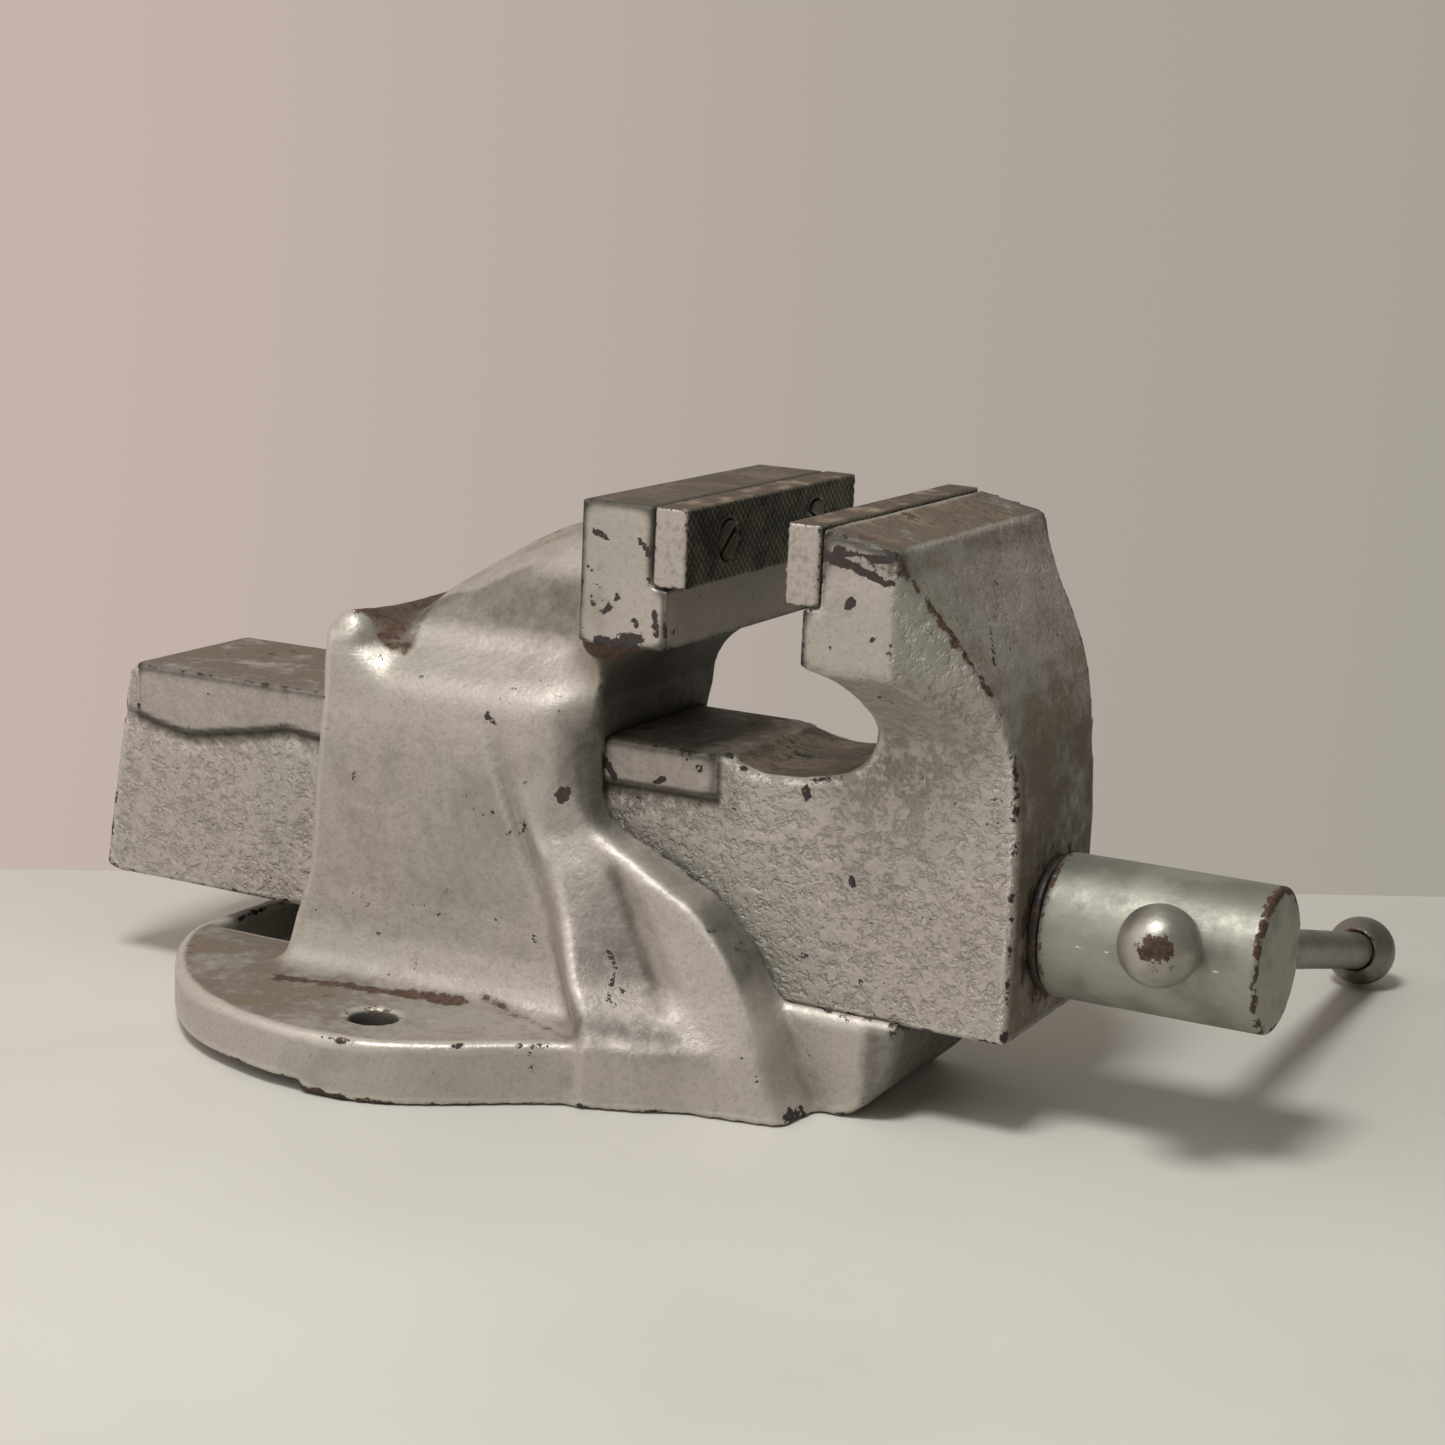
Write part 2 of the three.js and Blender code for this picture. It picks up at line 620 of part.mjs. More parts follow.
function collarPin() {
  const reach = COLLAR_RADIUS - 0.5;
  const from = [0, collarPinY, SCREW_AXIS_Z - reach];
  return rod(from, [0, collarPinY, SCREW_AXIS_Z + reach], COLLAR_PIN_RADIUS, 20);
}

add('main_screw', mainScrew(), plainSteel);
add('thrust_washer', washer(JAW_FRONT - WASHER_THICKNESS - GAP, HEAD_RADIUS - 0.8), rustySteel);
add('spring_washer', washer(wallInside + GAP, COLLAR_RADIUS + 0.3), plainSteel);
add('take_up_spring', spring(), springSteel);
add('retaining_collar', retainingCollar(), plainSteel);
add('collar_pin', collarPin(), plainSteel);

// ---------------------------------------------------------------- nut, fixed to the bed by one bolt

const seatZ = BEAM_BOTTOM;

function mainNut() {
  const { front, rear, halfWidth, top } = NUT;
  const bevel = 6;
  const block = [
    [-halfWidth, seatZ], [halfWidth, seatZ], [halfWidth, top - bevel], [halfWidth - bevel, top],
    [-halfWidth + bevel, top], [-halfWidth, top - bevel],
  ];
  const bore = rod([0, front - 5, SCREW_AXIS_Z], [0, rear + 5, SCREW_AXIS_Z], SCREW_RADIUS + GAP);
  const tapped = rod([0, nutBoltY, seatZ - 1], [0, nutBoltY, seatZ + 13], NUT_BOLT_RADIUS + GAP, 28);
  return cut(alongY(block, front, rear), bore, tapped);
}

const BOLT_HEAD = { acrossCorners: 21, height: 8 };
const washerTop = BED_BOTTOM - GAP;
const washerBottom = washerTop - 2;

function nutBolt() {
  const headTop = washerBottom - GAP;
  const headBottom = headTop - BOLT_HEAD.height;
  const head = rod([0, nutBoltY, headBottom], [0, nutBoltY, headTop], BOLT_HEAD.acrossCorners / 2, 6);
  const shank = rod([0, nutBoltY, headTop - 1], [0, nutBoltY, seatZ + 12], NUT_BOLT_RADIUS, 28);
  return join(head, shank);
}

function nutBoltWasher() {
  const disc = rod([0, nutBoltY, washerBottom], [0, nutBoltY, washerTop], 12.5, 32);
  return cut(disc, rod([0, nutBoltY, 0], [0, nutBoltY, seatZ], NUT_BOLT_RADIUS + GAP, 28));
}

add('main_nut', mainNut(), nutIron);
add('nut_bolt', nutBolt(), plainSteel);
add('nut_bolt_washer', nutBoltWasher(), plainSteel);

// ---------------------------------------------------------------- tommy bar and its ball ends

const BALL_BORE_DEPTH = 7; // how far the bar's end reaches past a ball's centre

function tommyBar() {
  const reach = BALL_BORE_DEPTH - 1;
  return rod(alongBar(-nearReach - reach), alongBar(farReach + reach), BAR_RADIUS - 0.6, 28);
}

function barBall(centre, inwards) {
  const sphere = new THREE.SphereGeometry(BALL_RADIUS, 28, 18);
  sphere.translate(...alongBar(centre));
  const mouth = alongBar(centre + inwards * (BALL_RADIUS + 4));
  const end = alongBar(centre - inwards * BALL_BORE_DEPTH);
  return cut(solid(sphere), rod(mouth, end, BAR_RADIUS - 0.6 + GAP, 28));
}

add('tommy_bar', tommyBar(), plainSteel);
add('bar_ball_near', barBall(-nearReach, 1), rustySteel);
add('bar_ball_far', barBall(farReach, -1), plainSteel);

export default group;
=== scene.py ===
"""Looks of the bench vise: worn silver paint over cast iron, steel plates and a plain spindle.

Shapes are worked out in millimetres as signed distances (negative inside) on a lattice of
points and skinned with openvdb, then placed in the frame in metres. Sizes that show in the
CAD's boxes are read from them.
"""

import math

import bmesh
import bpy
import numpy as np
import openvdb
from mathutils import Matrix, Vector


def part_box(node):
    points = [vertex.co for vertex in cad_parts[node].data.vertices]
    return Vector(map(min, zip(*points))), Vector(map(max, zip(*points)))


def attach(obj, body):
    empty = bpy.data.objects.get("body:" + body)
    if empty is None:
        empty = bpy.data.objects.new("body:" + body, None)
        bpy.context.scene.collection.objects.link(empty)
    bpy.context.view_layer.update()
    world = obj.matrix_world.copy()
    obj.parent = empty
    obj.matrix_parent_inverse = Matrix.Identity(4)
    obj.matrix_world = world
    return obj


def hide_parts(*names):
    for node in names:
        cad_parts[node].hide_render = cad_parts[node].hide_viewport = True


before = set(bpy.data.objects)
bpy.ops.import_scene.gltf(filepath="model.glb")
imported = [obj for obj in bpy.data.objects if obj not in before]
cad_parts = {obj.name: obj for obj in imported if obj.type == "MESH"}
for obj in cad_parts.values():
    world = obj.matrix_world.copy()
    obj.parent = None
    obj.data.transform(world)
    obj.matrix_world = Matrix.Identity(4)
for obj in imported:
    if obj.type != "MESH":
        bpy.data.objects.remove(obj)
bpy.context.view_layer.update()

MM = 0.001


def box_mm(node):
    lo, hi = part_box(node)
    return np.array(lo) / MM, np.array(hi) / MM


# ---- sizes

BODY_HI = box_mm("body_casting")[1]
SLIDE_LO, SLIDE_HI = box_mm("sliding_jaw_casting")
PLATE_LO, PLATE_HI = box_mm("fixed_jaw_plate")
MOVING_HI = box_mm("moving_jaw_plate")[1]
SCREW_LO, SCREW_HI = box_mm("main_screw")
NUT_LO, NUT_HI = box_mm("main_nut")
COLLAR_LO, COLLAR_HI = box_mm("retaining_collar")

JAW_HALF = PLATE_HI[0]
JAW_TOP = PLATE_HI[2]
PLATE_BOTTOM = PLATE_LO[2]
PLATE_THICKNESS = PLATE_HI[1] - PLATE_LO[1]
PLATE_MID_Z = (JAW_TOP + PLATE_BOTTOM) / 2
OPENING = PLATE_LO[1] - MOVING_HI[1]
GAP = 0.3
PLATE_PROUD = 5.4
BLOCK_REAR = 30.9
BLOCK_BOTTOM = 120.7
SCREW_X = 26.0
COUNTERSINK = 6.2
SHANK = 3.0

AXIS_Z = (SCREW_LO[2] + SCREW_HI[2]) / 2
HEAD_RADIUS = SCREW_HI[0]
HEAD_BACK = SLIDE_LO[1] - 3.0
SCREW_RADIUS = 12.5
PITCH = 6.35
BEAM_HALF = 27.5
BEAM_TOP = 90.9
BEAM_BOTTOM = SLIDE_LO[2]
WALL_HALF = 41.0
FLANGE_TOP = 17.0
FLANGE_HALF = BODY_HI[0]
THROAT_REAR = 33.0
BOLT_X = 73.6
BOLT_Y = 76.0
BOLT_RADIUS = 6.5
NUT_BOLT_Y = (NUT_LO[1] + NUT_HI[1]) / 2
NUT_BOLT_HOLE = 6.3
BAR_RADIUS = 5.75
BALL_RADIUS = 10.5
FAR = 1e3

CAMERA_PLACE = (-0.69278, -0.34098, 0.25944)
CAMERA_TURN = math.radians(62.91)
CAMERA_RISE = math.radians(12.07)
CAMERA_ROLL = math.radians(2.56)
CAMERA_LENS = 72.6


# ---- distances

class Block:
    """A lattice of sample points around some CAD box, with open x, y and z arrays."""

    def __init__(self, lo, hi, step):
        self.step = step
        self.lo = np.array(lo, float) - 3 * step
        self.lines = [np.arange(a, b + 3 * step, step) for a, b in zip(self.lo, hi)]
        self.x = self.lines[0][:, None, None]
        self.y = self.lines[1][None, :, None]
        self.z = self.lines[2][None, None, :]
        self.clip = slab_box(self, lo, hi)

    @classmethod
    def around(cls, node, step):
        return cls(*box_mm(node), step)


def span(value, low, high):
    """Distance to the stretch between low and high."""
    return np.maximum(low - value, value - high)


def slab_box(block, lo, hi):
    """Distance to an upright box, sharp edged."""
    across = span(block.x, lo[0], hi[0])
    along = span(block.y, lo[1], hi[1])
    up = span(block.z, lo[2], hi[2])
    return np.maximum(np.maximum(across, along), up)


def outline(points, u, v):
    """Distance to a closed outline drawn in the plane of u and v."""
    nearest = np.full(np.broadcast(u, v).shape, np.inf)
    inside = np.zeros(nearest.shape, bool)
    for (u0, v0), (u1, v1) in zip(points, points[1:] + points[:1]):
        du, dv = u1 - u0, v1 - v0
        length = max(du * du + dv * dv, 1e-9)
        t = np.clip(((u - u0) * du + (v - v0) * dv) / length, 0, 1)
        nearest = np.minimum(nearest, np.hypot(u - u0 - t * du, v - v0 - t * dv))
        if v0 != v1:
            inside ^= ((v0 > v) != (v1 > v)) & (u < u0 + (v - v0) * du / dv)
    return np.where(inside, -nearest, nearest)


def both(a, b, radius=0.0):
    """What two shapes share, with the edge between them rounded."""
    if np.all(radius == 0):
        return np.maximum(a, b)
    corner = np.hypot(np.maximum(a + radius, 0), np.maximum(b + radius, 0))
    return np.minimum(np.maximum(a, b), -radius) + corner


def either(a, b, radius=0.0):
    """Two shapes joined, with a fillet between them."""
    return -both(-a, -b, radius)


def without(a, b, radius=0.0):
    return both(a, -b, radius)


def curve(points, count=6):
    """A smooth line through the points, as a list of points."""
    p = np.array([points[0], *points, points[-1]], float)
    made = []
    for i in range(1, len(p) - 2):
        for t in np.arange(count) / count:
            a = 2 * p[i] + (p[i + 1] - p[i - 1]) * t
            b = (2 * p[i - 1] - 5 * p[i] + 4 * p[i + 1] - p[i + 2]) * t ** 2
            c = (3 * p[i] - p[i - 1] - 3 * p[i + 1] + p[i + 2]) * t ** 3
            made.append(tuple((a + b + c) / 2))
    return made + [tuple(points[-1])]


def read_off(line, at, key=0, value=1):
    """What a list of points gives in its value column at some places of its key column."""
    return np.interp(at, [p[key] for p in line], [p[value] for p in line])


def zigzag(turns):
    """1 at whole turns and 0 half way between them."""
    return np.abs(turns % 1 * 2 - 1)


def blur(field, radius, axes):
    """A Gaussian blur of that many lattice steps along the given axes."""
    reach = int(math.ceil(2.5 * radius))
    weights = np.exp(-0.5 * (np.arange(-reach, reach + 1) / radius) ** 2)
    weights /= weights.sum()
    for axis in axes:
        pad = [(reach, reach) if k == axis else (0, 0) for k in range(field.ndim)]
        padded = np.pad(field, pad, mode="edge")
        count = field.shape[axis]
        field = sum(w * padded.take(np.arange(i, i + count), axis) for i, w in enumerate(weights))
    return field


def swell(block, half):
    """Distance to |x| < half, where half varies over y and z."""
    slope_y = np.gradient(half, block.step, axis=1)
    slope_z = np.gradient(half, block.step, axis=2)
    return (np.abs(block.x) - half) / np.sqrt(1 + slope_y ** 2 + slope_z ** 2)


def lumps(block, size, seed):
    """Smooth random values from -1 to 1 whose features are about that many millimetres wide."""
    random = np.random.default_rng(seed)
    value = random.uniform(-1, 1, [int(np.ptp(line) / size) + 3 for line in block.lines]).astype("f4")
    for axis, line in enumerate(block.lines):
        t = (line - line[0]) / size
        low = t.astype(int)
        w = t - low
        w = (w * w * (3 - 2 * w)).reshape([-1 if k == axis else 1 for k in range(3)]).astype("f4")
        start = value.take(low, axis)
        value = start + (value.take(low + 1, axis) - start) * w
    return value


def cast_skin(block, seed):
    """The unevenness of a sand casting, in millimetres."""
    layers = ((0.14, 17), (0.08, 6), (0.04, 2.6))
    return sum(depth * lumps(block, size, seed + i) for i, (depth, size) in enumerate(layers))


def rod_along_y(block, x, z, radius, y0=-FAR, y1=FAR):
    return both(np.hypot(block.x - x, block.z - z) - radius, span(block.y, y0, y1))


def rod_along_z(block, x, y, radius, z0=-FAR, z1=FAR):
    return both(np.hypot(block.x - x, block.y - y) - radius, span(block.z, z0, z1))


# ---- skins

EDGE_BLUR = 1.6


def sample(field, block, points):
    """Trilinear values of a field at some points in millimetres."""
    at = (points - block.lo) / block.step
    low = np.clip(at.astype(int), 0, np.array(field.shape) - 2)
    w = at - low
    total = 0
    for corner in np.ndindex(2, 2, 2):
        i, j, k = (low + corner).T
        share = np.prod(np.where(corner, w, 1 - w), axis=1)
        total = total + share * field[i, j, k]
    return total


def skin(block, field):
    """Vertices (mm) and quads of the surface where the field is zero."""
    reach = 3 * block.step
    shape = [len(line) for line in block.lines]
    filled = np.broadcast_to(np.clip(field, -reach, reach), shape).astype("f4")
    grid = openvdb.FloatGrid(reach)
    grid.copyFromArray(np.ascontiguousarray(filled))
    grid.transform = openvdb.createLinearTransform(voxelSize=block.step)
    points, quads = grid.convertToQuads(0.0)
    return points.astype(float) + block.lo, quads


def make_object(name, points, faces):
    mesh = bpy.data.meshes.new(name)
    mesh.from_pydata((points * MM).tolist(), [], np.asarray(faces).tolist())
    mesh.validate()
    mesh.shade_smooth()
    obj = bpy.data.objects.new(name, mesh)
    bpy.context.collection.objects.link(obj)
    return obj


def paint_mask(obj, name, values):
    layer = obj.data.attributes.new(name, "FLOAT", "POINT")
    layer.data.foreach_set("value", np.clip(values, 0, 1).astype("f4"))


def place(obj, body, slot, material, *nodes):
    obj.data.materials.append(material)
    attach(obj, body)
    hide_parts(*nodes)


def carved(name, block, field, masks=None):
    """An object from a field, with its edge and hollow masks worked out from the curvature."""
    field = np.maximum(np.broadcast_to(field, [len(line) for line in block.lines]), block.clip)
    points, quads = skin(block, field)
    near = np.clip(field, -6 * block.step, 6 * block.step)
    bend = sample(blur(near, EDGE_BLUR, (0, 1, 2)) - near, block, points) / block.step
    obj = make_object(name, points, quads)
    paint_mask(obj, "edge", bend * 1.6 - 0.25)
    # The paint darkens hollows from this mask as painted shade.
    paint_mask(obj, "hollow", -bend * 2.4 - 0.1)
    normals = np.empty(3 * len(points), "f4")
    obj.data.vertex_normals.foreach_get("vector", normals)
    for mask, values in (masks(points, normals.reshape(-1, 3)) if masks else {}).items():
        paint_mask(obj, mask, values)
    return obj


def nearness(points, line, reach):
    """1 on a broken line in space, falling to 0 at that reach from it."""
    nearest = np.full(len(points), np.inf)
    line = np.array(line, float)
    for a, b in zip(line[:-1], line[1:]):
        d = b - a
        t = np.clip((points - a) @ d / max(d @ d, 1e-9), 0, 1)
        nearest = np.minimum(nearest, np.linalg.norm(points - a - t[:, None] * d, axis=1))
    return np.clip(1 - nearest / reach, 0, 1)


def most(values):
    """The largest of several masks at each point."""
    return np.maximum.reduce(values)


def on_both_sides(points, line, reach):
    """The nearness to a line or to its mirror image across the centre plane."""
    mirrored = [(-x, y, z) for x, y, z in line]
    return np.maximum(nearness(points, line, reach), nearness(points, mirrored, reach))


def chipped(points, chips):
    """The nearness to whichever chip is closest."""
    return most([nearness(points, line, reach) for reach, line in chips])


def at_x(x, chips):
    """Chips that are drawn in y and z on an upright plane."""
    return [(reach, [(x, y, z) for y, z in line]) for reach, line in chips]


def within(value, low, high, soft=2.0):
    """1 between low and high, falling to 0 over a soft border."""
    return np.clip(np.minimum(value - low, high - value) / soft + 0.5, 0, 1)


# ---- body casting

# Front edge of the walls (y, z), from the ground up to the throat under the fixed jaw.
FRONT_EDGE = curve([
    (-37.5, -4), (-34.5, 3), (-30, 11), (-25.8, 21.7), (-23, 26.6), (-19.4, 33.6), (-14.8, 41), (-9.5, 47),
    (-2.5, 53), (5.3, 57), (17.5, 63), (25.4, 66.4), (32, 72), (THROAT_REAR + 0.5, 80),
])
THROAT = curve([
    (THROAT_REAR + 0.5, 80), (THROAT_REAR, 98), (32.5, 104), (29, 111), (20.5, 117), (12, 120.3),
    (PLATE_PROUD, 122.5),
])
SPINE = curve([
    (BLOCK_REAR, 150), (36, 149), (53, 145.5), (68, 140), (82, 132), (96, 123), (104, 115.5), (110, 111.5),
])
REAR_EDGE = [(117.5, 111.5), (117.5, 90), (120, 45), (124, 29), (125.5, -4)]
REAR_WINDOW = ((-29, 104, -9), (29, 161, BEAM_BOTTOM))
BED_POCKET = ((-24, 22, -9), (24, 98, 13))
HOLE_FLARE = 1.2
JAW_END = -50.4
RIM = [(-42, -10, 51), (-44, -20, 42), (-46, -27, 30), (-47, -31, 20), (-47.5, -36, 5)]
GROOVE = [(-38.6, 24, 57), (-39.6, 18, 45), (-42, 10, 30), (-47, 4, 24)]


def column_half(block):
    """Half width of the wing, groove and column below the bridge, over y and z.

    Each row is a height and then, from the front edge back, the y and half width of the
    rim's outer crease (its y counted from the front edge), the wing, the groove, the
    column's crest and its rear edge.
    """
    rows = [
        (0, (1.5, 47.5), (-20, 50.5), (-7, 52.5), (18, 64.5), (25, 60)),
        (16, (1.2, 46), (-13, 49), (-5, 54), (18, 65), (28, 50)),
        (22, (1.2, 45), (-7, 47.5), (2, 52), (20, 61.5), (33.5, 46)),
        (30, (1.2, 43.8), (-2, 45.3), (10, 42), (26, 57.3), (37.5, 43.3)),
        (45, (1.2, 42.4), (7, 43), (17.8, 39.6), (33, 49.2), (44, 41.8)),
        (57, (1.5, 41.4), (16, 41.2), (23.5, 38.6), (39, 45), (49, 41.2)),
        (66, (1.5, 35.5), (31, 37.6), (37, 39), (47, 43), (53, 41)),
        (79, (1, 31.5), (37, 35.6), (42, 38.8), (51, 41.6), (59, 41)),
        (92, (1, 31), (37, 35), (42, 38.3), (52, 41), (64, 41)),
    ]
    heights = [row[0] for row in rows]
    z = block.lines[2]
    nodes = [[np.interp(z, heights, [row[k][i] for row in rows]) for i in (0, 1)] for k in range(1, 6)]
    front = read_off(FRONT_EDGE, z, 1, 0)
    half = np.empty((1, len(block.lines[1]), len(z)))
    for i in range(len(z)):
        crease = front[i] + nodes[0][0][i]
        ys = [front[i] - 30, front[i] - 0.5, crease] + [node[0][i] for node in nodes[1:]]
        halves = [28.5, 28.5] + [node[1][i] for node in nodes]
        half[0, :, i] = np.interp(block.lines[1], ys, halves)
    return half


def bridge_half(block):
    """Half width of the shoulders, the web and the flare under the fixed jaw."""
    heights = [90, 97, 101, 104, 108, 112, 116, 120, 123, 130, 160]
    stations = [
        (5, [30, 30, 30, 32, 36, 41, 47, 50.6, 50.6, 50.4, 50.4]),
        (20, [30, 30, 31, 33, 35, 40, 46.5, 50.6, 50.6, 50.4, 50.4]),
        (31, [30, 31, 32.5, 33.5, 35.5, 39, 45.5, 50, 50.4, 50.4, 50.4]),
        (38, [35.8, 35.8, 35.5, 34.5, 33, 32, 33.5, 35.5, 36.5, 36, 35]),
        (45, [39.8, 39.4, 38, 35, 30.5, 26.5, 24, 23, 22.7, 22.5, 22]),
        (52, [41, 40.8, 39, 35.6, 30.3, 26, 24, 23, 22.5, 22, 22]),
        (70, [41, 41, 39.2, 35.5, 29.5, 25, 23, 22, 21.5, 21, 21]),
        (98, [41, 41, 39.2, 35.5, 29.5, 25, 23, 22, 21.5, 21, 21]),
        (104, [41, 41, 40.6, 39.6, 37, 33.5, 30, 26, 24, 22, 21]),
        (109, [41, 41, 41, 40.9, 40.4, 39.2, 37, 35, 30, 25, 22]),
    ]
    columns = [np.interp(block.lines[2], heights, halves) for _, halves in stations]
    ys = [y for y, _ in stations]
    half = [np.interp(block.lines[1], ys, row) for row in np.transpose(columns)]
    return np.stack(half, axis=1)[None]


def crown(block):
    """The rounded top of the web: half width as it nears the spine."""
    top = read_off(SPINE, block.y)
    depth = np.maximum(top - block.z, 0)
    limit = 24 * np.minimum(depth / 17, 1) ** 0.42 + 2.2 * np.maximum(depth - 12, 0)
    limit = limit + 3.2 * depth * np.clip((block.y - 84) / 18, 0, 1)
    limit = np.where(block.y > 106, 60, limit)
    in_block = block.y < BLOCK_REAR + 1
    return np.where(in_block, 60, np.maximum(limit, 0.5))


def panel_line(z):
    """Where the side panel's slanting edge is, in y."""
    return 24.5 + 0.4327 * z


def wall_half(block):
    """Half width of the walls: the column, wing and groove, the raised panel and the bridge above."""
    low = blur(column_half(block), 0.9, (1, 2))
    behind = block.y - panel_line(block.z)
    pad = np.clip(behind, 0, 1) * np.clip((96 - block.z) / 14, 0, 1)
    low = low + pad * np.maximum(WALL_HALF + 1.2 - low, 0)
    low = low - 0.6 * (1 - pad) * within(behind, -5, 0.5, 3)
    high = blur(np.minimum(bridge_half(block), crown(block)), 1.9, (1, 2))
    rise = np.clip((block.z - 88) / 8, 0, 1)
    return low * (1 - rise) + high * rise


def flange_plan():
    half = curve([
        (30, 167), (39, 164.5), (50, 159.5), (62, 151), (72, 142), (81, 131.5), (88, 118.5), (93, 102),
        (FLANGE_HALF, 86), (94, 72), (90, 60), (82, 47), (73, 35), (65, 23), (61, 12), (58, 3), (50.5, -7),
    ], 4) + [(44, -14)]
    return half + [(-x, y) for x, y in reversed(half)]


def flange(block):
    plate = both(outline(flange_plan(), block.x, block.y), block.z - FLANGE_TOP, 2.4)
    relief = np.maximum(85 - block.y, block.z - 3)
    return without(plate, relief)


def nose(block):
    side = curve([(-57, 20), (-54, 11), (-49.5, 5.2), (-42, -1)], 5)
    profile = outline([(-57, 28)] + side + [(10, -1), (10, 28)], block.y, block.z)
    return both(np.abs(block.x) - 31, profile, 3.5)


def rear_collar(block):
    """The raised lip across the rear of the bridge, with a rounded lug at each end."""
    sag = 111.5 - 1.8 * (1 - (block.x / 34) ** 2)
    across = np.maximum(np.abs(block.x) - 32.5, 0)
    return np.sqrt(across ** 2 + (block.y - 112.3) ** 2 + (block.z - sag) ** 2) - 5.6


def body_field(block):
    side = [*FRONT_EDGE, *THROAT[1:], (PLATE_PROUD, JAW_TOP), (BLOCK_REAR, JAW_TOP), *SPINE, *REAR_EDGE]
    walls = both(swell(block, wall_half(block)), outline(side, block.y, block.z), 2.2)
    walls = without(walls, slab_box(block, *REAR_WINDOW))
    foot = 2 + 2.2 * np.clip((block.y - 14) / 60, 0, 1)
    whole = either(walls, flange(block), foot)
    whole = either(whole, nose(block), 3)
    whole = either(whole, rear_collar(block), 3.5)
    whole = whole + cast_skin(block, 3)
    jaw = slab_box(block, (-JAW_HALF, PLATE_PROUD, BLOCK_BOTTOM), (JAW_HALF, BLOCK_REAR, JAW_TOP))
    machined_side = np.maximum(JAW_HALF - np.abs(block.x), BLOCK_BOTTOM + 0.5 - block.z)
    whole = either(without(whole, machined_side), jaw)
    for cut in body_cuts(block):
        whole = without(whole, cut)
    return np.maximum(whole, -block.z)


def body_cuts(block):
    channel = BEAM_HALF + GAP
    yield slab_box(block, (-channel, -FAR, BEAM_BOTTOM - GAP), (channel, FAR, BEAM_TOP + GAP))
    yield slab_box(block, *BED_POCKET)
    yield slab_box(block, (-FAR, -FAR, 70), (FAR, PLATE_PROUD, BLOCK_BOTTOM + 2))
    yield slab_box(block, (-FAR, -FAR, PLATE_BOTTOM - GAP), (FAR, PLATE_THICKNESS + GAP, FAR))
    yield slab_box(block, *REAR_WINDOW)
    for x in (-BOLT_X, BOLT_X):
        yield bolt_hole(block, x)
    yield rod_along_z(block, 0, NUT_BOLT_Y, NUT_BOLT_HOLE, z1=BEAM_BOTTOM + 5)
    for x in (-SCREW_X, SCREW_X):
        yield rod_along_y(block, x, PLATE_MID_Z, SHANK + GAP, -20, 22)


def bolt_hole(block, x):
    """A hole through the flange, flared at its mouth."""
    mouth = FLANGE_TOP - HOLE_FLARE
    radius = np.hypot(block.x - x, block.y - BOLT_Y) - BOLT_RADIUS
    flare = np.maximum(radius - np.clip(block.z - mouth, 0, 2), span(block.z, mouth, mouth + 4))
    return np.minimum(rod_along_z(block, x, BOLT_Y, BOLT_RADIUS), flare)


# Where the paint is knocked off the near side: how wide, and a short broken line in space.
BODY_CHIPS = [
    (3.2, [(-39, 41, 75), (-39, 39.5, 77)]),
    (1.7, [(-50, 27, 37), (-51, 27.5, 31), (-54, 26, 23)]),
    (1.7, [(-46, 20.5, 38), (-47, 17.5, 34), (-50, 18, 28)]),
    (2.0, [(-59, 12, 3.5), (-57, 4, 4.5)]),
    (2.0, [(-23, 66, 112), (-23, 63, 110.5), (-23, 60, 110)]),
    (2.0, [(-38, 105, 100), (-38, 105, 101)]),
    (2.0, [(-37, 87, 101), (-37, 87, 101.5)]),
    (2.2, [(-41.5, 64, 94.5), (-41.5, 61, 93)]),
    (1.7, [(-34, 40, 101), (-37, 43.8, 95), (-38.5, 45.5, 90)]),
] + at_x(-42.2, [
    (2.2, [(99, 31), (90, 26)]),
    (1.8, [(79, 31), (74, 24)]),
]) + at_x(JAW_END, [
    (4.0, [(17, 122.5), (13, 123.5)]),
    (2.2, [(8.5, 131), (8, 124)]),
    (1.9, [(22, 131), (24, 129)]),
    (1.6, [(20, 134), (19.5, 133)]),
    (1.5, [(14, 149), (10, 145)]),
    (1.5, [(27, 150), (23, 148)]),
    (1.3, [(28.5, 141), (27.5, 139)]),
    (1.6, [(14.5, 128), (13.5, 126.5)]),
    (1.4, [(10.5, 139), (9, 137.5)]),
    (1.5, [(27, 133), (26.5, 131)]),
    (3.0, [(19, 121.5), (25, 121.5)]),
])


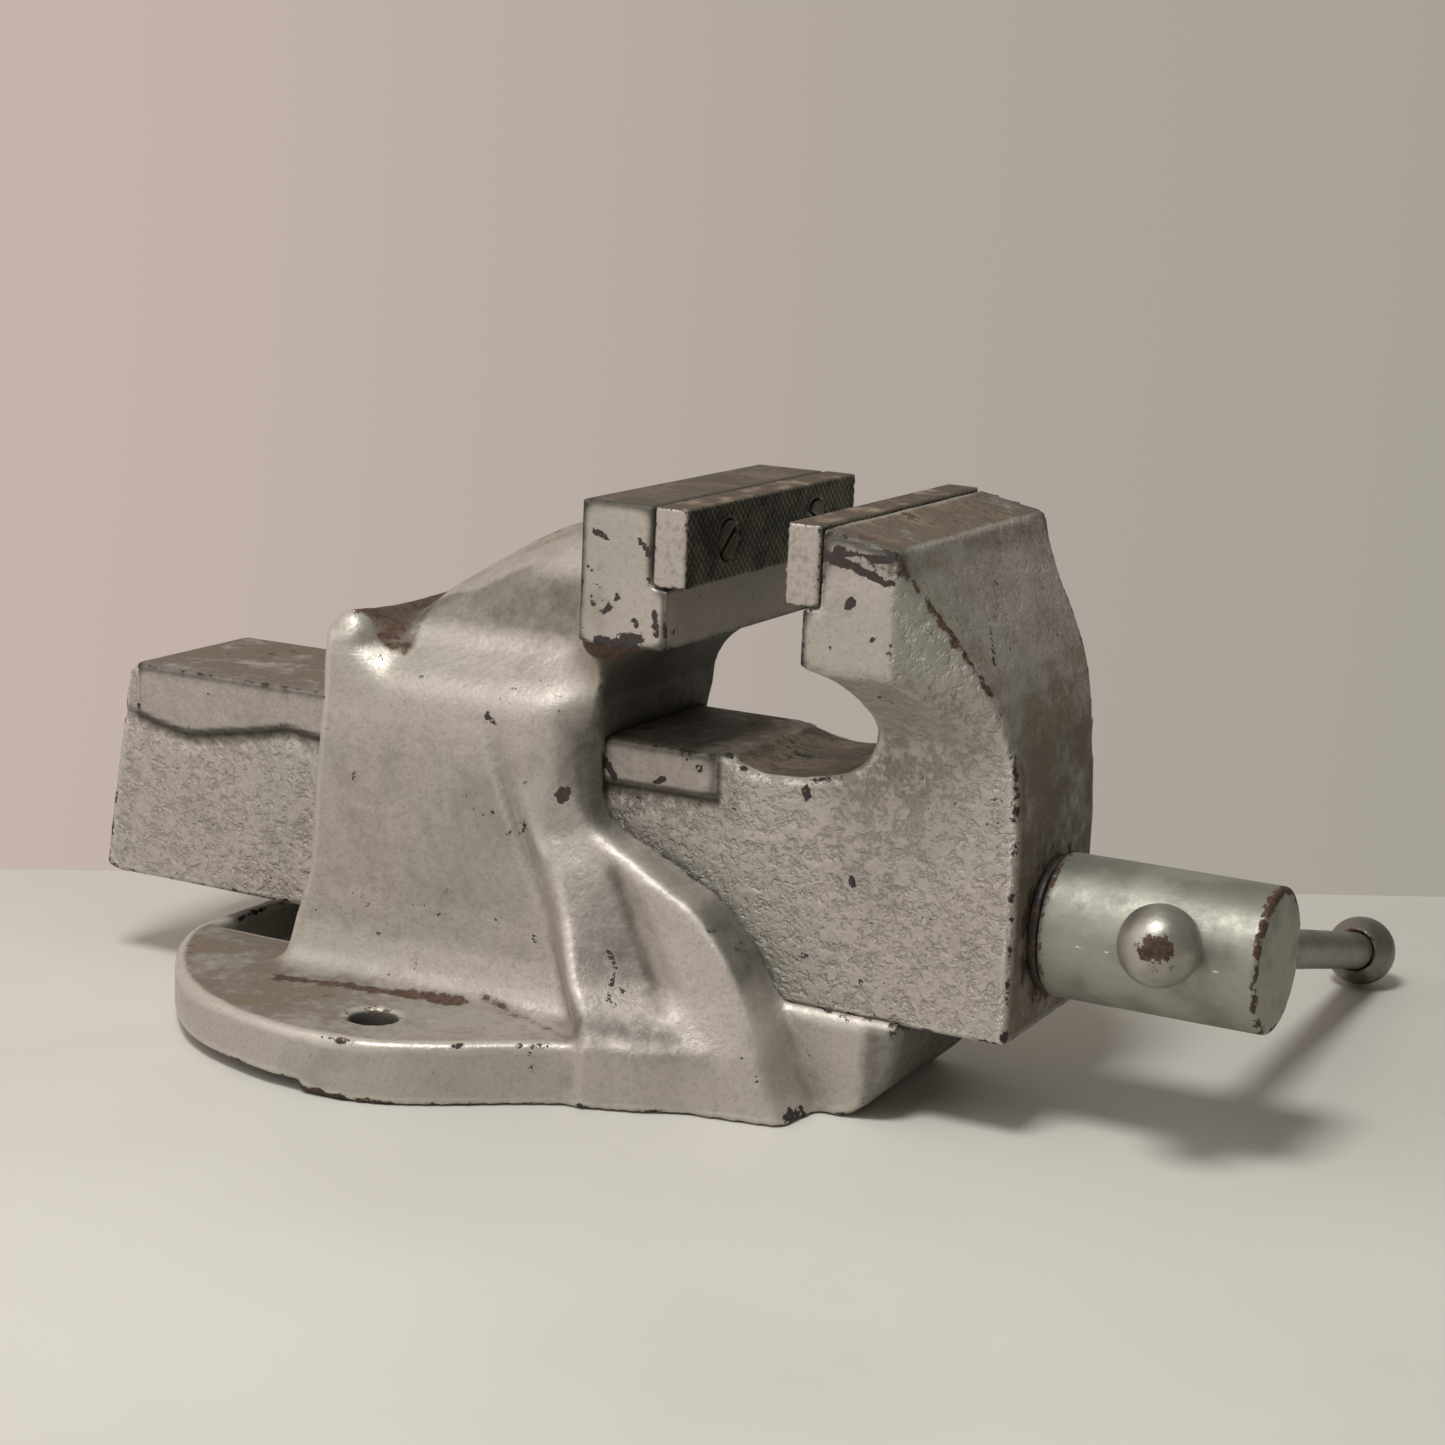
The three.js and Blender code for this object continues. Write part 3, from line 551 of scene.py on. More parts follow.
def body_dirt(points, normals):
    """How rusty and how grimy the body is."""
    x, y, z = points.T
    up = np.clip(normals[:, 2], 0, 1)
    wide = np.abs(x)
    ledge = within(y, 7, 33, 4) * within(z, 114, BLOCK_BOTTOM + 0.6, 2.5) * within(wide, 44, 60, 3)
    collar = within(y, 94, 119, 4) * within(z, 106, 200, 4) * within(wide, -1, 34, 3) * up
    jaw_top = within(z, JAW_TOP - 0.5, 200, 0.6)
    spine = within(z, 113, 150, 4) * up ** 2 * within(y, 33, 112, 3) * within(wide, -1, 14, 6)
    ground = within(z, -9, 2.2, 2)
    flange_top = within(z, 15.5, 19, 1.5) * up
    foot = nearness(points, [(-60, 116, 17), (-56, 97, 17.5), (-53, 76, 17.5), (-52, 64, 17.5)], 8)
    foot = np.maximum(foot, 0.8 * nearness(points, [(-47, 60, 18.5), (-52, 42, 18), (-60, 25, 17)], 4))
    far_foot = nearness(points, [(46, 114, 20), (46, 80, 19)], 7)
    rim = nearness(points, RIM, 5)
    hole = np.clip(1.6 - np.hypot(wide - BOLT_X, y - BOLT_Y) / 11, 0, 1) * within(z, 14, 18, 1)
    rust = most([
        0.95 * ledge, 0.7 * collar, 0.42 * jaw_top, 0.5 * spine, 0.86 * foot, 0.6 * far_foot, 0.6 * hole,
        ground * np.interp(y, [30, 90], [0.45, 0.84]), 0.42 * nearness(points, GROOVE, 6),
        0.34 * flange_top, 0.55 * rim,
    ])
    grime = most([
        0.9 * collar, 1.1 * jaw_top, 0.6 * spine, 0.8 * foot, 0.45 * ground,
        flange_top * np.interp(y, [20, 100], [0.3, 0.6]),
    ])
    return rust, grime


def body_shade(points, normals):
    """Painted shade on the body's paint: in hollows such as the groove and the panel's edge, under the jaw,
    on faces turned forward, in front of the nose, on the web, at the column's foot and inside the bolt holes,
    with the panel and the jaw's top made a little darker.
    """
    x, y, z = points.T
    wide = np.abs(x)
    facing_down = np.clip(-normals[:, 1] * 0.8 - normals[:, 2], 0, 1)
    throat = within(y, PLATE_PROUD + 0.5, 36, 2) * within(z, 91, 122, 2) * facing_down
    corner = within(y, -60, 46, 5) * within(z, 30, 118, 14) * np.clip(-1.5 * normals[:, 1], 0, 1)
    panel_edge = nearness(points, [(-42, 64, 94), (-43, 52, 63), (-45, 40, 36), (-60, 24, 17)], 1.8)
    panel = within(y - panel_line(z), 1, 200, 4) * within(z, 22, 96, 14) * within(wide, 41, 60, 1)
    nose_front = within(y, -70, -47, 5) * within(z, -9, 27, 3)
    web = within(z, 113, 134, 8) * within(wide, 17, 27, 2) * within(y, 44, 104, 8)
    inside_hole = within(np.hypot(wide - BOLT_X, y - BOLT_Y), 0, BOLT_RADIUS + 0.4, 0.6)
    column_foot = nearness(points, [(-60, 20, 22), (-56, 8, 21), (-53, -1, 20)], 13)
    return most([
        0.95 * throat, 0.75 * corner, 0.9 * panel_edge, 0.8 * nearness(points, GROOVE, 6), 0.7 * nose_front,
        0.62 * web, 1.2 * inside_hole, 0.3 * panel, 0.35 * within(z, JAW_TOP - 0.5, 200, 0.6),
        0.7 * column_foot,
    ])


def body_masks(points, normals):
    x, y, z = points.T
    rust, grime = body_dirt(points, normals)
    jaw = within(y, PLATE_PROUD, BLOCK_REAR, 0.8) * within(z, BLOCK_BOTTOM, 200, 0.8)
    channel = within(np.abs(np.abs(x) - BEAM_HALF - GAP), -1, 0.3, 0.4) * within(z, 26, 91, 1)
    return {"rust": rust, "grime": grime, "smooth": np.maximum(jaw, channel),
            "shade": body_shade(points, normals), "chip": chipped(points, BODY_CHIPS)}


# ---- sliding jaw casting

# The jaw's curved front: height, y, and half width of the front face.
RIDGE = [
    (BEAM_BOTTOM, SLIDE_LO[1], BEAM_HALF), (78, SLIDE_LO[1], BEAM_HALF), (91, -84.6, BEAM_HALF),
    (102.4, -83.2, 28.6), (109, -81.5, 30), (115, -79.5, 32), (121.5, -76.4, 34.5), (131, -70.6, 38.2),
    (137, -66.3, 40.5), (147, -59.9, 46), (153.4, -57.2, 50),
]
SCOOP = curve([
    (-1.8, BEAM_TOP), (-6, 88.9), (-15, 87.4), (-27, 88.4), (-37, 91.2), (-43, 96.5), (-45.6, 104),
    (-44.6, 112), (-40.5, 118.5), (-OPENING - PLATE_PROUD, 121.6),
])
JAW_BOTTOM = 121.6
FLANK_FRONT = -57.0
STRIP_EDGE = [
    (-5, 78), (36, 78), (124, 76), (139, 78), (150, 75.6), (174, 71.4), (186, 73.5), (198, 76.3), (210, 76.3),
]


def jaw_side():
    back = SLIDE_HI[1]
    rear = [(back - 5, BEAM_BOTTOM), (back, BEAM_BOTTOM + 1.5), (back - 7, 80), (back - 9, 88),
            (back - 12, BEAM_TOP)]
    top = [(-OPENING - PLATE_PROUD, JAW_TOP - 0.4), (-OPENING - PLATE_THICKNESS, JAW_TOP - 0.4)]
    front = [(y, z) for z, y, _ in reversed(RIDGE)]
    return rear + SCOOP + top + front


def jaw_half(block):
    """Half width of the casting: the beam's, flared up to the jaw and drawn in to the ridge in front."""
    z = block.lines[2]
    flare = np.interp(z, [97, 103, 108.5, 115, JAW_BOTTOM], [BEAM_HALF, 28.8, 33.5, 41.5, JAW_HALF + 0.5])
    start = np.interp(z, [103, JAW_BOTTOM], [-75, FLANK_FRONT])
    ridge_y = read_off(RIDGE, z)
    ridge_half = np.minimum(read_off(RIDGE, z, 0, 2), flare)
    half = np.empty((1, len(block.lines[1]), len(z)))
    for i in range(len(z)):
        half[0, :, i] = np.interp(block.lines[1], [ridge_y[i] - 1, start[i]], [ridge_half[i], flare[i]])
    recess = np.clip((block.y + 7) / 5, 0, 1) * np.clip((96 - block.z) / 4, 0, 1)
    under = np.clip((block.y - 1) / 2, 0, 1) * within(block.z - read_off(STRIP_EDGE, block.y), -3.2, 0.5, 1.5)
    return half - 1.3 * recess - 1.1 * under


def strips(block):
    """The machined strips along the beam's upper edges, with their ragged lower line."""
    height = span(block.z, read_off(STRIP_EDGE, block.y), BEAM_TOP)
    side = np.maximum(np.abs(block.x) - BEAM_HALF, height)
    return np.maximum(side, span(block.y, 0.5, SLIDE_HI[1] - 12))


def slide_field(block):
    side = outline(jaw_side(), block.y, block.z)
    cast = both(swell(block, blur(jaw_half(block), 1.0, (1, 2))), side, 1.6) + cast_skin(block, 40)
    behind = slab_box(block, (-60, FLANK_FRONT, JAW_BOTTOM + 0.4), (60, 10, 200))
    cast = without(cast, np.maximum(behind, JAW_HALF - np.abs(block.x)))
    jaw = np.maximum(slab_box(block, (-JAW_HALF, FLANK_FRONT, JAW_BOTTOM), (JAW_HALF, 0, JAW_TOP)), side)
    whole = either(either(cast, jaw), np.maximum(strips(block), side))
    for cut in slide_cuts(block):
        whole = without(whole, cut)
    limit = slab_box(block, (-60, -200, BEAM_BOTTOM), (60, 0.5, 200))
    beam = slab_box(block, (-BEAM_HALF, 0.5, BEAM_BOTTOM), (BEAM_HALF, 300, BEAM_TOP))
    return np.maximum(whole, np.minimum(limit, beam))


def slide_cuts(block):
    yield slab_box(block, (-18.5, SLIDE_LO[1] + 20, -FAR), (18.5, FAR, 77.9))
    yield rod_along_y(block, 0, AXIS_Z, SCREW_RADIUS + GAP, -200, -60)
    yield rod_along_z(block, 0, -12, 2.4, 75, 100)
    yield slab_box(block, (-FAR, -OPENING - PLATE_THICKNESS - GAP, PLATE_BOTTOM - GAP), (FAR, 50, FAR))
    for x in (-SCREW_X, SCREW_X):
        yield rod_along_y(block, x, PLATE_MID_Z, SHANK + GAP, -OPENING - 22, -OPENING)


SLIDE_CHIPS = [
    (2.4, [(-28, -26, 86), (-28, -26.5, 82)]),
    (1.3, [(-8, -66, 143), (-16, -70, 133), (-25, -75, 124)]),
] + at_x(-BEAM_HALF, [
    (1.8, [(18, 81), (16, 82)]),
    (2.4, [(34, 84), (31, 80)]),
    (1.6, [(6, 86.5), (5, 86)]),
    (1.8, [(-40, 63.5), (-40.5, 62)]),
    (2.0, [(196, 79), (192, 78)]),
]) + at_x(JAW_END, [
    (2.6, [(-46.5, 140), (-45.5, 139)]),
    (1.6, [(-41, 128), (-41.5, 127)]),
    (1.6, [(-53, 132), (-52, 131)]),
    (2.4, [(-39, 150.5), (-47, 148.5), (-56.5, 145.5)]),
    (2.2, [(-41, 152.5), (-57, 151)]),
    (1.5, [(-57, 150), (-57, 136)]),
    (1.3, [(-57, 131), (-57, 126)]),
])


def slide_masks(points, normals):
    x, y, z = points.T
    up = np.clip(normals[:, 2], 0, 1)
    wide = np.abs(x)
    machined = within(y, FLANK_FRONT, -32, 0.8) * within(z, JAW_BOTTOM, 200, 0.8) * np.clip(wide - 49, 0, 1)
    strip = within(z - read_off(STRIP_EDGE, y), 0, 50, 0.8) * within(y, 0.5, 300, 0.8)
    strip = strip * np.clip((wide - 27) * 2, 0, 1)
    beam_top = within(z, BEAM_TOP - 0.6, BEAM_TOP + 1, 0.5) * within(y, -6, 300, 5)
    scoop = within(z, 84, 95, 3) * within(y, -44, -1, 4) * up
    top = within(z, 152.6, 200, 0.8) * up
    corner = within(wide, 40, 60, 8) * within(y, -62, -38, 4) * within(z, 146, 160, 5)
    ridge = on_both_sides(points, [(half, depth, height) for height, depth, half in RIDGE if height > 100], 5)
    front = np.clip(-normals[:, 1], 0, 1) ** 2 * within(y, -200, -56, 2)
    ring_mark = np.clip(1.5 - np.abs(np.hypot(x, z - AXIS_Z) - 19) / 4, 0, 1) * front
    rust = most([0.36 * top, 0.52 * corner * (z > 147), 0.66 * ridge, 0.12 * front, 0.6 * ring_mark,
                 0.4 * beam_top, 0.4 * scoop])
    # The grime on faces turned forward is partly dirt and partly painted shade.
    grime = most([0.72 * top, 0.6 * front, 0.65 * beam_top, 0.85 * scoop, 0.5 * ridge])
    # Painted shade: the shadow under the strips and at their front ends, and on the flanks turned forward;
    # the oil hole, the strips and the corner are made darker as well.
    flank = np.clip(-2 * normals[:, 1], 0, 1) * within(y, -86, -30, 6) * within(z, 88, 150, 8) * (1 - front)
    oil = 1.6 * nearness(points, [(0, -12, 85), (0, -12, 92)], 6)
    shadow = on_both_sides(points, [(27, along, height) for along, height in STRIP_EDGE], 3) * (y > 0)
    strip_end = nearness(points, [(-27, 0, 79), (-27, 0, BEAM_TOP)], 1.8)
    shade = most([1.3 * shadow, strip_end, oil, 0.32 * strip, 0.35 * flank, 0.45 * corner])
    flat = most([machined, strip, beam_top, 0.6 * top, 0.75 * front])
    return {"rust": rust, "grime": grime, "smooth": flat, "shade": shade,
            "chip": chipped(points, SLIDE_CHIPS)}


# ---- plates and their screws

TOOTH = 2.6
TOOTH_DEPTH = 0.6


def serration(block):
    """Depth of the crossed teeth on a plate's face, from 0 at their tips."""
    return TOOTH_DEPTH * (1 - tooth_height(block.x, block.z))


def tooth_height(x, z):
    """1 on the tips of the crossed teeth and 0 in the valleys between them."""
    rising = np.abs(((x + z) / TOOTH) % 1 - 0.5)
    falling = np.abs(((x - 0.8 * z) / TOOTH) % 1 - 0.5)
    return rising + falling


def plate_field(block, face, into):
    """A plate whose toothed face is at y = face and whose metal lies towards into (+1 or -1)."""
    depth = (block.y - face) * into
    plate = np.maximum(block.clip, (serration(block) - depth) * 0.8)
    for x in (-SCREW_X, SCREW_X):
        radius = np.hypot(block.x - x, block.z - PLATE_MID_Z)
        sink = (radius - COUNTERSINK - GAP + depth * 0.8) * 0.78
        plate = without(plate, np.minimum(sink, radius - SHANK - GAP))
    return plate + 0.05 * lumps(block, 2.2, 7)


def plate_masks(points, normals):
    x, _, z = points.T
    facing = np.clip(np.abs(normals[:, 1]) * 1.5, 0, 1)
    ends = within(np.abs(x), JAW_HALF - 0.6, 99, 0.5)
    top = within(z, JAW_TOP - 0.6, 200, 0.5) * np.clip(normals[:, 2], 0, 1)
    face = facing * (1 - ends) * (1 - top)
    return {"face": face, "tips": tooth_height(x, z), "rust": 1.1 * top}


def plate_screw_field(block, x, face, into):
    depth = (block.y - face) * into
    radius = np.hypot(block.x - x, block.z - PLATE_MID_Z)
    head = both((radius - COUNTERSINK + 0.3 + depth * 0.8) * 0.78, GAP - depth, 0.4)
    head = np.maximum(head, depth - 4)
    shank = np.maximum(radius - SHANK, span(depth, 0.5, 19.9))
    turn = math.radians(38 if x < 0 else -25)
    across = (block.x - x) * math.sin(turn) - (block.z - PLATE_MID_Z) * math.cos(turn)
    slot = np.maximum(np.abs(across) - 0.9, depth - 2)
    return without(np.minimum(head, shank), slot) + 0.05 * lumps(block, 1.5, 9)


# ---- spindle and what it carries

def spindle_field(block):
    radius = np.hypot(block.x, block.z - AXIS_Z)
    head = both(radius - HEAD_RADIUS, span(block.y, SCREW_LO[1], HEAD_BACK), 1.3) + 0.05 * lumps(block, 9, 21)
    journal = np.maximum(radius - SCREW_RADIUS, span(block.y, HEAD_BACK - 2, COLLAR_HI[1]))
    turn = np.arctan2(block.x, block.z - AXIS_Z) / (2 * math.pi)
    groove = 2.6 * np.clip((zigzag(block.y / PITCH - turn) - 0.3) / 0.4, 0, 1)
    thread = (radius - SCREW_RADIUS + groove) * 0.75
    thread = both(thread, span(block.y, COLLAR_HI[1] - 1, SCREW_HI[1]), 2.0)
    whole = np.minimum(head, np.minimum(journal, thread))
    height = block.z - AXIS_Z + block.x * math.tan(BAR_LEAN)
    bar_hole = np.hypot(block.y - BAR_Y, height * math.cos(BAR_LEAN)) - BAR_RADIUS - 1.05
    return without(without(whole, bar_hole, 0.6), np.hypot(block.x, block.y - PIN_Y) - PIN_HOLE)


def spindle_masks(points, normals):
    x, y, z = points.T
    from_rim = np.hypot(np.hypot(x, z - AXIS_Z) - HEAD_RADIUS, y - SCREW_LO[1])
    rim = np.clip(1.3 - from_rim / 3.2, 0, 1)
    back = within(y, HEAD_BACK - 2.5, HEAD_BACK + 1, 1.5)
    return {"rust": np.maximum(0.75 * rim, 0.6 * back)}


def ring_field(block, node, outer):
    """A ring on the spindle, between the ends of its CAD box."""
    lo, hi = box_mm(node)
    radius = np.hypot(block.x, block.z - AXIS_Z)
    return both(both(radius - outer, span(block.y, lo[1], hi[1]), 0.5), SCREW_RADIUS + GAP - radius, 0.4)


def collar_field(block):
    ring = ring_field(block, "retaining_collar", COLLAR_HI[0] - 0.1)
    return without(ring, np.hypot(block.x, block.y - PIN_Y) - PIN_HOLE)


def pin_field(block):
    lo, hi = box_mm("collar_pin")
    return both(np.hypot(block.x, block.y - PIN_Y) - 2.5, span(block.z, lo[2], hi[2]), 0.7)


def coil_object():
    """The spring, as a tube along a helix."""
    lo, hi = box_mm("take_up_spring")
    wire = 1.45
    radius = hi[0] - 1.55
    turns = 3.5
    steps = 180
    sides = 14
    points = []
    for i in range(steps + 1):
        angle = 2 * math.pi * turns * i / steps
        y = lo[1] + 1.55 + (hi[1] - lo[1] - 3.1) * i / steps
        out = np.array([math.cos(angle), 0, math.sin(angle)])
        for k in range(sides):
            a = 2 * math.pi * k / sides
            points.append(out * (radius + wire * math.cos(a)) + [0, y + wire * math.sin(a), AXIS_Z])

    def corner(i, k):
        return i * sides + k % sides

    faces = [[corner(i, k), corner(i, k + 1), corner(i + 1, k + 1), corner(i + 1, k)]
             for i in range(steps) for k in range(sides)]
    return capped(make_object("spring_wire", np.array(points), faces))


def capped(obj):
    """Closes the open ends of a tube and turns its faces outwards."""
    bm = bmesh.new()
    bm.from_mesh(obj.data)
    bmesh.ops.holes_fill(bm, edges=bm.edges, sides=0)
    bmesh.ops.recalc_face_normals(bm, faces=bm.faces)
    bm.to_mesh(obj.data)
    bm.free()
    obj.data.shade_smooth()
    return obj


# ---- nut, its bolt and washer

BOLT_HEAD = 8
BOLT_FLATS = 9.0
BOLT_PITCH = 1.75


def nut_field(block):
    half, top, bevel = NUT_HI[0], NUT_HI[2], 6
    section = [(-half, NUT_LO[2]), (half, NUT_LO[2]), (half, top - bevel), (half - bevel, top),
               (bevel - half, top), (-half, top - bevel)]
    body = both(outline(section, block.x, block.z), span(block.y, NUT_LO[1], NUT_HI[1]), 1.2)
    body = body + 0.08 * lumps(block, 3.5, 60)
    body = without(body, rod_along_y(block, 0, AXIS_Z, SCREW_RADIUS + GAP), 0.8)
    return without(body, rod_along_z(block, 0, NUT_BOLT_Y, NUT_BOLT_HOLE, 0, NUT_LO[2] + 13))


def bolt_field(block):
    lo, hi = box_mm("nut_bolt")
    head_top = lo[2] + BOLT_HEAD
    dy = block.y - NUT_BOLT_Y
    flats = np.full(np.broadcast(block.x, block.y).shape, -np.inf)
    for k in range(3):
        a = math.radians(60 * k + 30)
        flats = np.maximum(flats, np.abs(block.x * math.cos(a) + dy * math.sin(a)) - BOLT_FLATS)
    radius = np.hypot(block.x, dy)
    head = both(flats, span(block.z, lo[2], head_top), 0.4)
    head = np.maximum(head, (radius - 10.3 - (block.z - lo[2])) * 0.7)
    wave = zigzag(block.z / BOLT_PITCH + np.arctan2(dy, block.x) / (2 * math.pi))
    shank = np.maximum(radius - 5.9 + 0.5 * wave, span(block.z, head_top - 1, hi[2]))
    return np.minimum(head, shank * 0.8)


def washer_field(block):
    lo, hi = box_mm("nut_bolt_washer")
    radius = np.hypot(block.x, block.y - NUT_BOLT_Y)
    return both(both(radius - 12.4, span(block.z, lo[2], hi[2]), 0.4), NUT_BOLT_HOLE - radius, 0.3)


# ---- tommy bar

NEAR_BALL = sum(box_mm("bar_ball_near")) / 2
FAR_BALL = sum(box_mm("bar_ball_far")) / 2
BAR_Y = NEAR_BALL[1]
BAR_END = 5.9
PIN_Y = (COLLAR_LO[1] + COLLAR_HI[1]) / 2
PIN_HOLE = 2.8
BAR_LINE = (FAR_BALL - NEAR_BALL) / np.linalg.norm(FAR_BALL - NEAR_BALL)
BAR_LEAN = math.atan2(-BAR_LINE[2], BAR_LINE[0])


def along_bar(block, centre):
    """Distance along the bar from a ball's centre, and away from the bar's line."""
    dx, dy, dz = block.x - centre[0], block.y - centre[1], block.z - centre[2]
    along = dx * BAR_LINE[0] + dz * BAR_LINE[2]
    away = np.sqrt(np.maximum(dx ** 2 + dy ** 2 + dz ** 2 - along ** 2, 0))
    return along, away


def bar_field(block):
    along, away = along_bar(block, NEAR_BALL)
    ends = span(along, -BAR_END, np.linalg.norm(FAR_BALL - NEAR_BALL) + BAR_END)
    return both(away - BAR_RADIUS + 0.05, ends, 0.8) + 0.05 * lumps(block, 8, 31)


def ball_field(block, centre, inwards):
    """A ball with a bore for the bar, which comes from inwards (+1 or -1 along the bar's line)."""
    along, away = along_bar(block, centre)
    ball = np.hypot(along, away) - BALL_RADIUS + 0.1 * lumps(block, 4, 33)
    bore = np.maximum(away - BAR_RADIUS - 0.25, -inwards * along - 6.9)
    return without(ball, bore, 0.4)


def near_ball_masks(points, normals):
    worn = np.clip(-(normals @ BAR_LINE) * 1.5 - 0.45, 0, 1)
    end = NEAR_BALL - 10.3 * BAR_LINE
    spot = nearness(points, [end + [0, -1.2, -0.5], end + [0.3, -3, 0]], 6.8)
    return {"rust": np.maximum(0.5 * worn, 1.3 * spot)}


# ---- materials

class Look:
    """A material built from a few kinds of node. Lengths are in millimetres."""

    def __init__(self, name):
        self.material = bpy.data.materials.new(name)
        self.material.use_nodes = True
        self.tree = self.material.node_tree
        self.shader = self.tree.nodes["Principled BSDF"]
        self.place = self.tree.nodes.new("ShaderNodeTexCoord").outputs["Object"]

    def set(self, socket, value):
        if isinstance(value, bpy.types.NodeSocket):
            self.tree.links.new(value, socket)
        else:
            socket.default_value = value

    def noise(self, size, detail=3.0, rough=0.55, seed=0.0, warp=0.0):
        node = self.tree.nodes.new("ShaderNodeTexNoise")
        node.noise_dimensions = "4D"
        self.set(node.inputs["Vector"], self.place)
        self.set(node.inputs["W"], seed)
        self.set(node.inputs["Scale"], 1 / (size * MM))
        self.set(node.inputs["Detail"], detail)
        self.set(node.inputs["Roughness"], rough)
        self.set(node.inputs["Distortion"], warp)
        return node.outputs["Fac"]

    def cells(self, size):
        node = self.tree.nodes.new("ShaderNodeTexVoronoi")
        node.feature = "SMOOTH_F1"
        self.set(node.inputs["Vector"], self.place)
        self.set(node.inputs["Scale"], 1 / (size * MM))
        return node.outputs["Distance"]

    def mask(self, name):
        node = self.tree.nodes.new("ShaderNodeAttribute")
        node.attribute_name = name
        return node.outputs["Fac"]

    def math(self, kind, a, b=0.0, c=0.0):
        node = self.tree.nodes.new("ShaderNodeMath")
        node.operation = kind
        for socket, value in zip(node.inputs, (a, b, c)):
            self.set(socket, value)
        return node.outputs[0]

    def add(self, *values):
        total = values[0]
        for value in values[1:]:
            total = self.math("ADD", total, value)
        return total

    def times(self, a, b):
        return self.math("MULTIPLY", a, b)

    def swing(self, value, amount):
        """How far a noise is from its middle, times an amount."""
        return self.times(self.add(value, -0.5), amount)

    def band(self, value, low, high, to_low=0.0, to_high=1.0):
        node = self.tree.nodes.new("ShaderNodeMapRange")
        node.interpolation_type = "SMOOTHSTEP"
        names = ("Value", "From Min", "From Max", "To Min", "To Max")
        for name, item in zip(names, (value, low, high, to_low, to_high)):
            self.set(node.inputs[name], item)
        return node.outputs["Result"]

    def mix(self, amount, a, b):
        node = self.tree.nodes.new("ShaderNodeMix")
        node.data_type = "RGBA"
        self.set(node.inputs["Factor"], amount)
        for socket, value in ((node.inputs[6], a), (node.inputs[7], b)):
            self.set(socket, (*value, 1) if isinstance(value, tuple) else value)
        return node.outputs[2]

    def blend(self, amount, a, b):
        node = self.tree.nodes.new("ShaderNodeMix")
        self.set(node.inputs["Factor"], amount)
        self.set(node.inputs["A"], a)
        self.set(node.inputs["B"], b)
        return node.outputs["Result"]

    def relief(self, height, depth):
        node = self.tree.nodes.new("ShaderNodeBump")
        self.set(node.inputs["Height"], height)
        node.inputs["Distance"].default_value = depth * MM
        node.inputs["Strength"].default_value = 1.0
        self.tree.links.new(node.outputs["Normal"], self.shader.inputs["Normal"])

    def finish(self, colour, rough, metal):
        self.set(self.shader.inputs["Base Color"], colour)
        self.set(self.shader.inputs["Roughness"], rough)
        self.set(self.shader.inputs["Metallic"], metal)
        return self.material


PAINT_WARM = (0.485, 0.434, 0.405)
PAINT_COOL = (0.42, 0.405, 0.355)
# PAINT_DULL is both duller paint and the painted shade in hollows.
PAINT_DULL = (0.29, 0.262, 0.228)
# PAINT_BRIGHT is worn edges and painted highlight.
PAINT_BRIGHT = (0.62, 0.59, 0.53)
SHADE = (0.062, 0.060, 0.046)
RUST_DARK = (0.038, 0.022, 0.015)
RUST_BROWN = (0.10, 0.055, 0.032)
RUST_ORANGE = (0.215, 0.105, 0.052)
GRIME = (0.082, 0.060, 0.043)
GRIME_TAN = (0.25, 0.193, 0.137)
CHIP = (0.035, 0.032, 0.034)
STEEL_OILY = (0.06, 0.056, 0.045)
STEEL_DULL = (0.12, 0.115, 0.088)
STEEL_TIPS = (0.33, 0.32, 0.27)


def rust_colour(look, seed):
    """Dark, brown and orange rust in fine grains."""
    grain = look.noise(1.5, 5, 0.72, seed)
    dark = look.mix(look.band(grain, 0.38, 0.62), RUST_DARK, RUST_BROWN)
    return look.mix(look.band(look.noise(4.5, 4, 0.7, seed + 0.5), 0.58, 0.74, 0.0, 0.5), dark, RUST_ORANGE)


def silver_paint(name, peel, wear, seed):
    """Silver paint on a casting: peel is how deep its texture is, wear how far its edges are chipped."""
    look = Look(name)
    wide = look.noise(55, 2, 0.5, seed)
    patch = look.noise(17, 5, 0.62, seed + 1, 0.4)
    fleck = look.noise(3.4, 5, 0.66, seed + 2)
    fine = look.noise(1.1, 3, 0.6, seed + 3)
    grimy = look.add(look.times(look.mask("grime"), 1.15), look.swing(patch, 1.1), look.swing(fleck, 0.7))
    grimy = look.band(grimy, 0.32, 0.85)
    rusty = look.add(look.mask("rust"), look.swing(patch, 1.3), look.swing(fleck, 1.2))
    rusty = look.band(rusty, 0.55, 0.68)
    chips = paint_chips(look, patch, fleck, wear, seed)
    colour = paint_colour(look, wide, patch, fleck, fine, grimy)
    colour = look.mix(rusty, colour, rust_colour(look, seed + 5))
    colour = look.mix(chips, colour, look.mix(look.band(fine, 0.4, 0.6), CHIP, RUST_DARK))
    damage = look.math("MAXIMUM", rusty, chips)
    cover = look.math("MAXIMUM", damage, look.times(grimy, 0.75))
    matt = look.math("MAXIMUM", cover, look.times(look.mask("shade"), 0.85))
    rough = look.blend(matt, look.band(fleck, 0.3, 0.7, 0.40, 0.52), 0.74)
    peeling = look.blend(look.mask("smooth"), look.band(wide, 0.35, 0.7, peel, 0.55 * peel), 0.1 * peel)
    pits = look.band(look.noise(2.6, 5, 0.62, seed + 6), 0.3, 0.55)
    texture = look.times(look.add(look.times(look.cells(2.4), 0.6), pits), peeling)
    ragged = look.times(damage, look.times(look.add(fleck, -1.0), 0.35))
    look.relief(look.add(texture, look.times(fine, 0.2), ragged), 0.55)
    return look.finish(colour, rough, look.blend(cover, 0.6, 0.05))


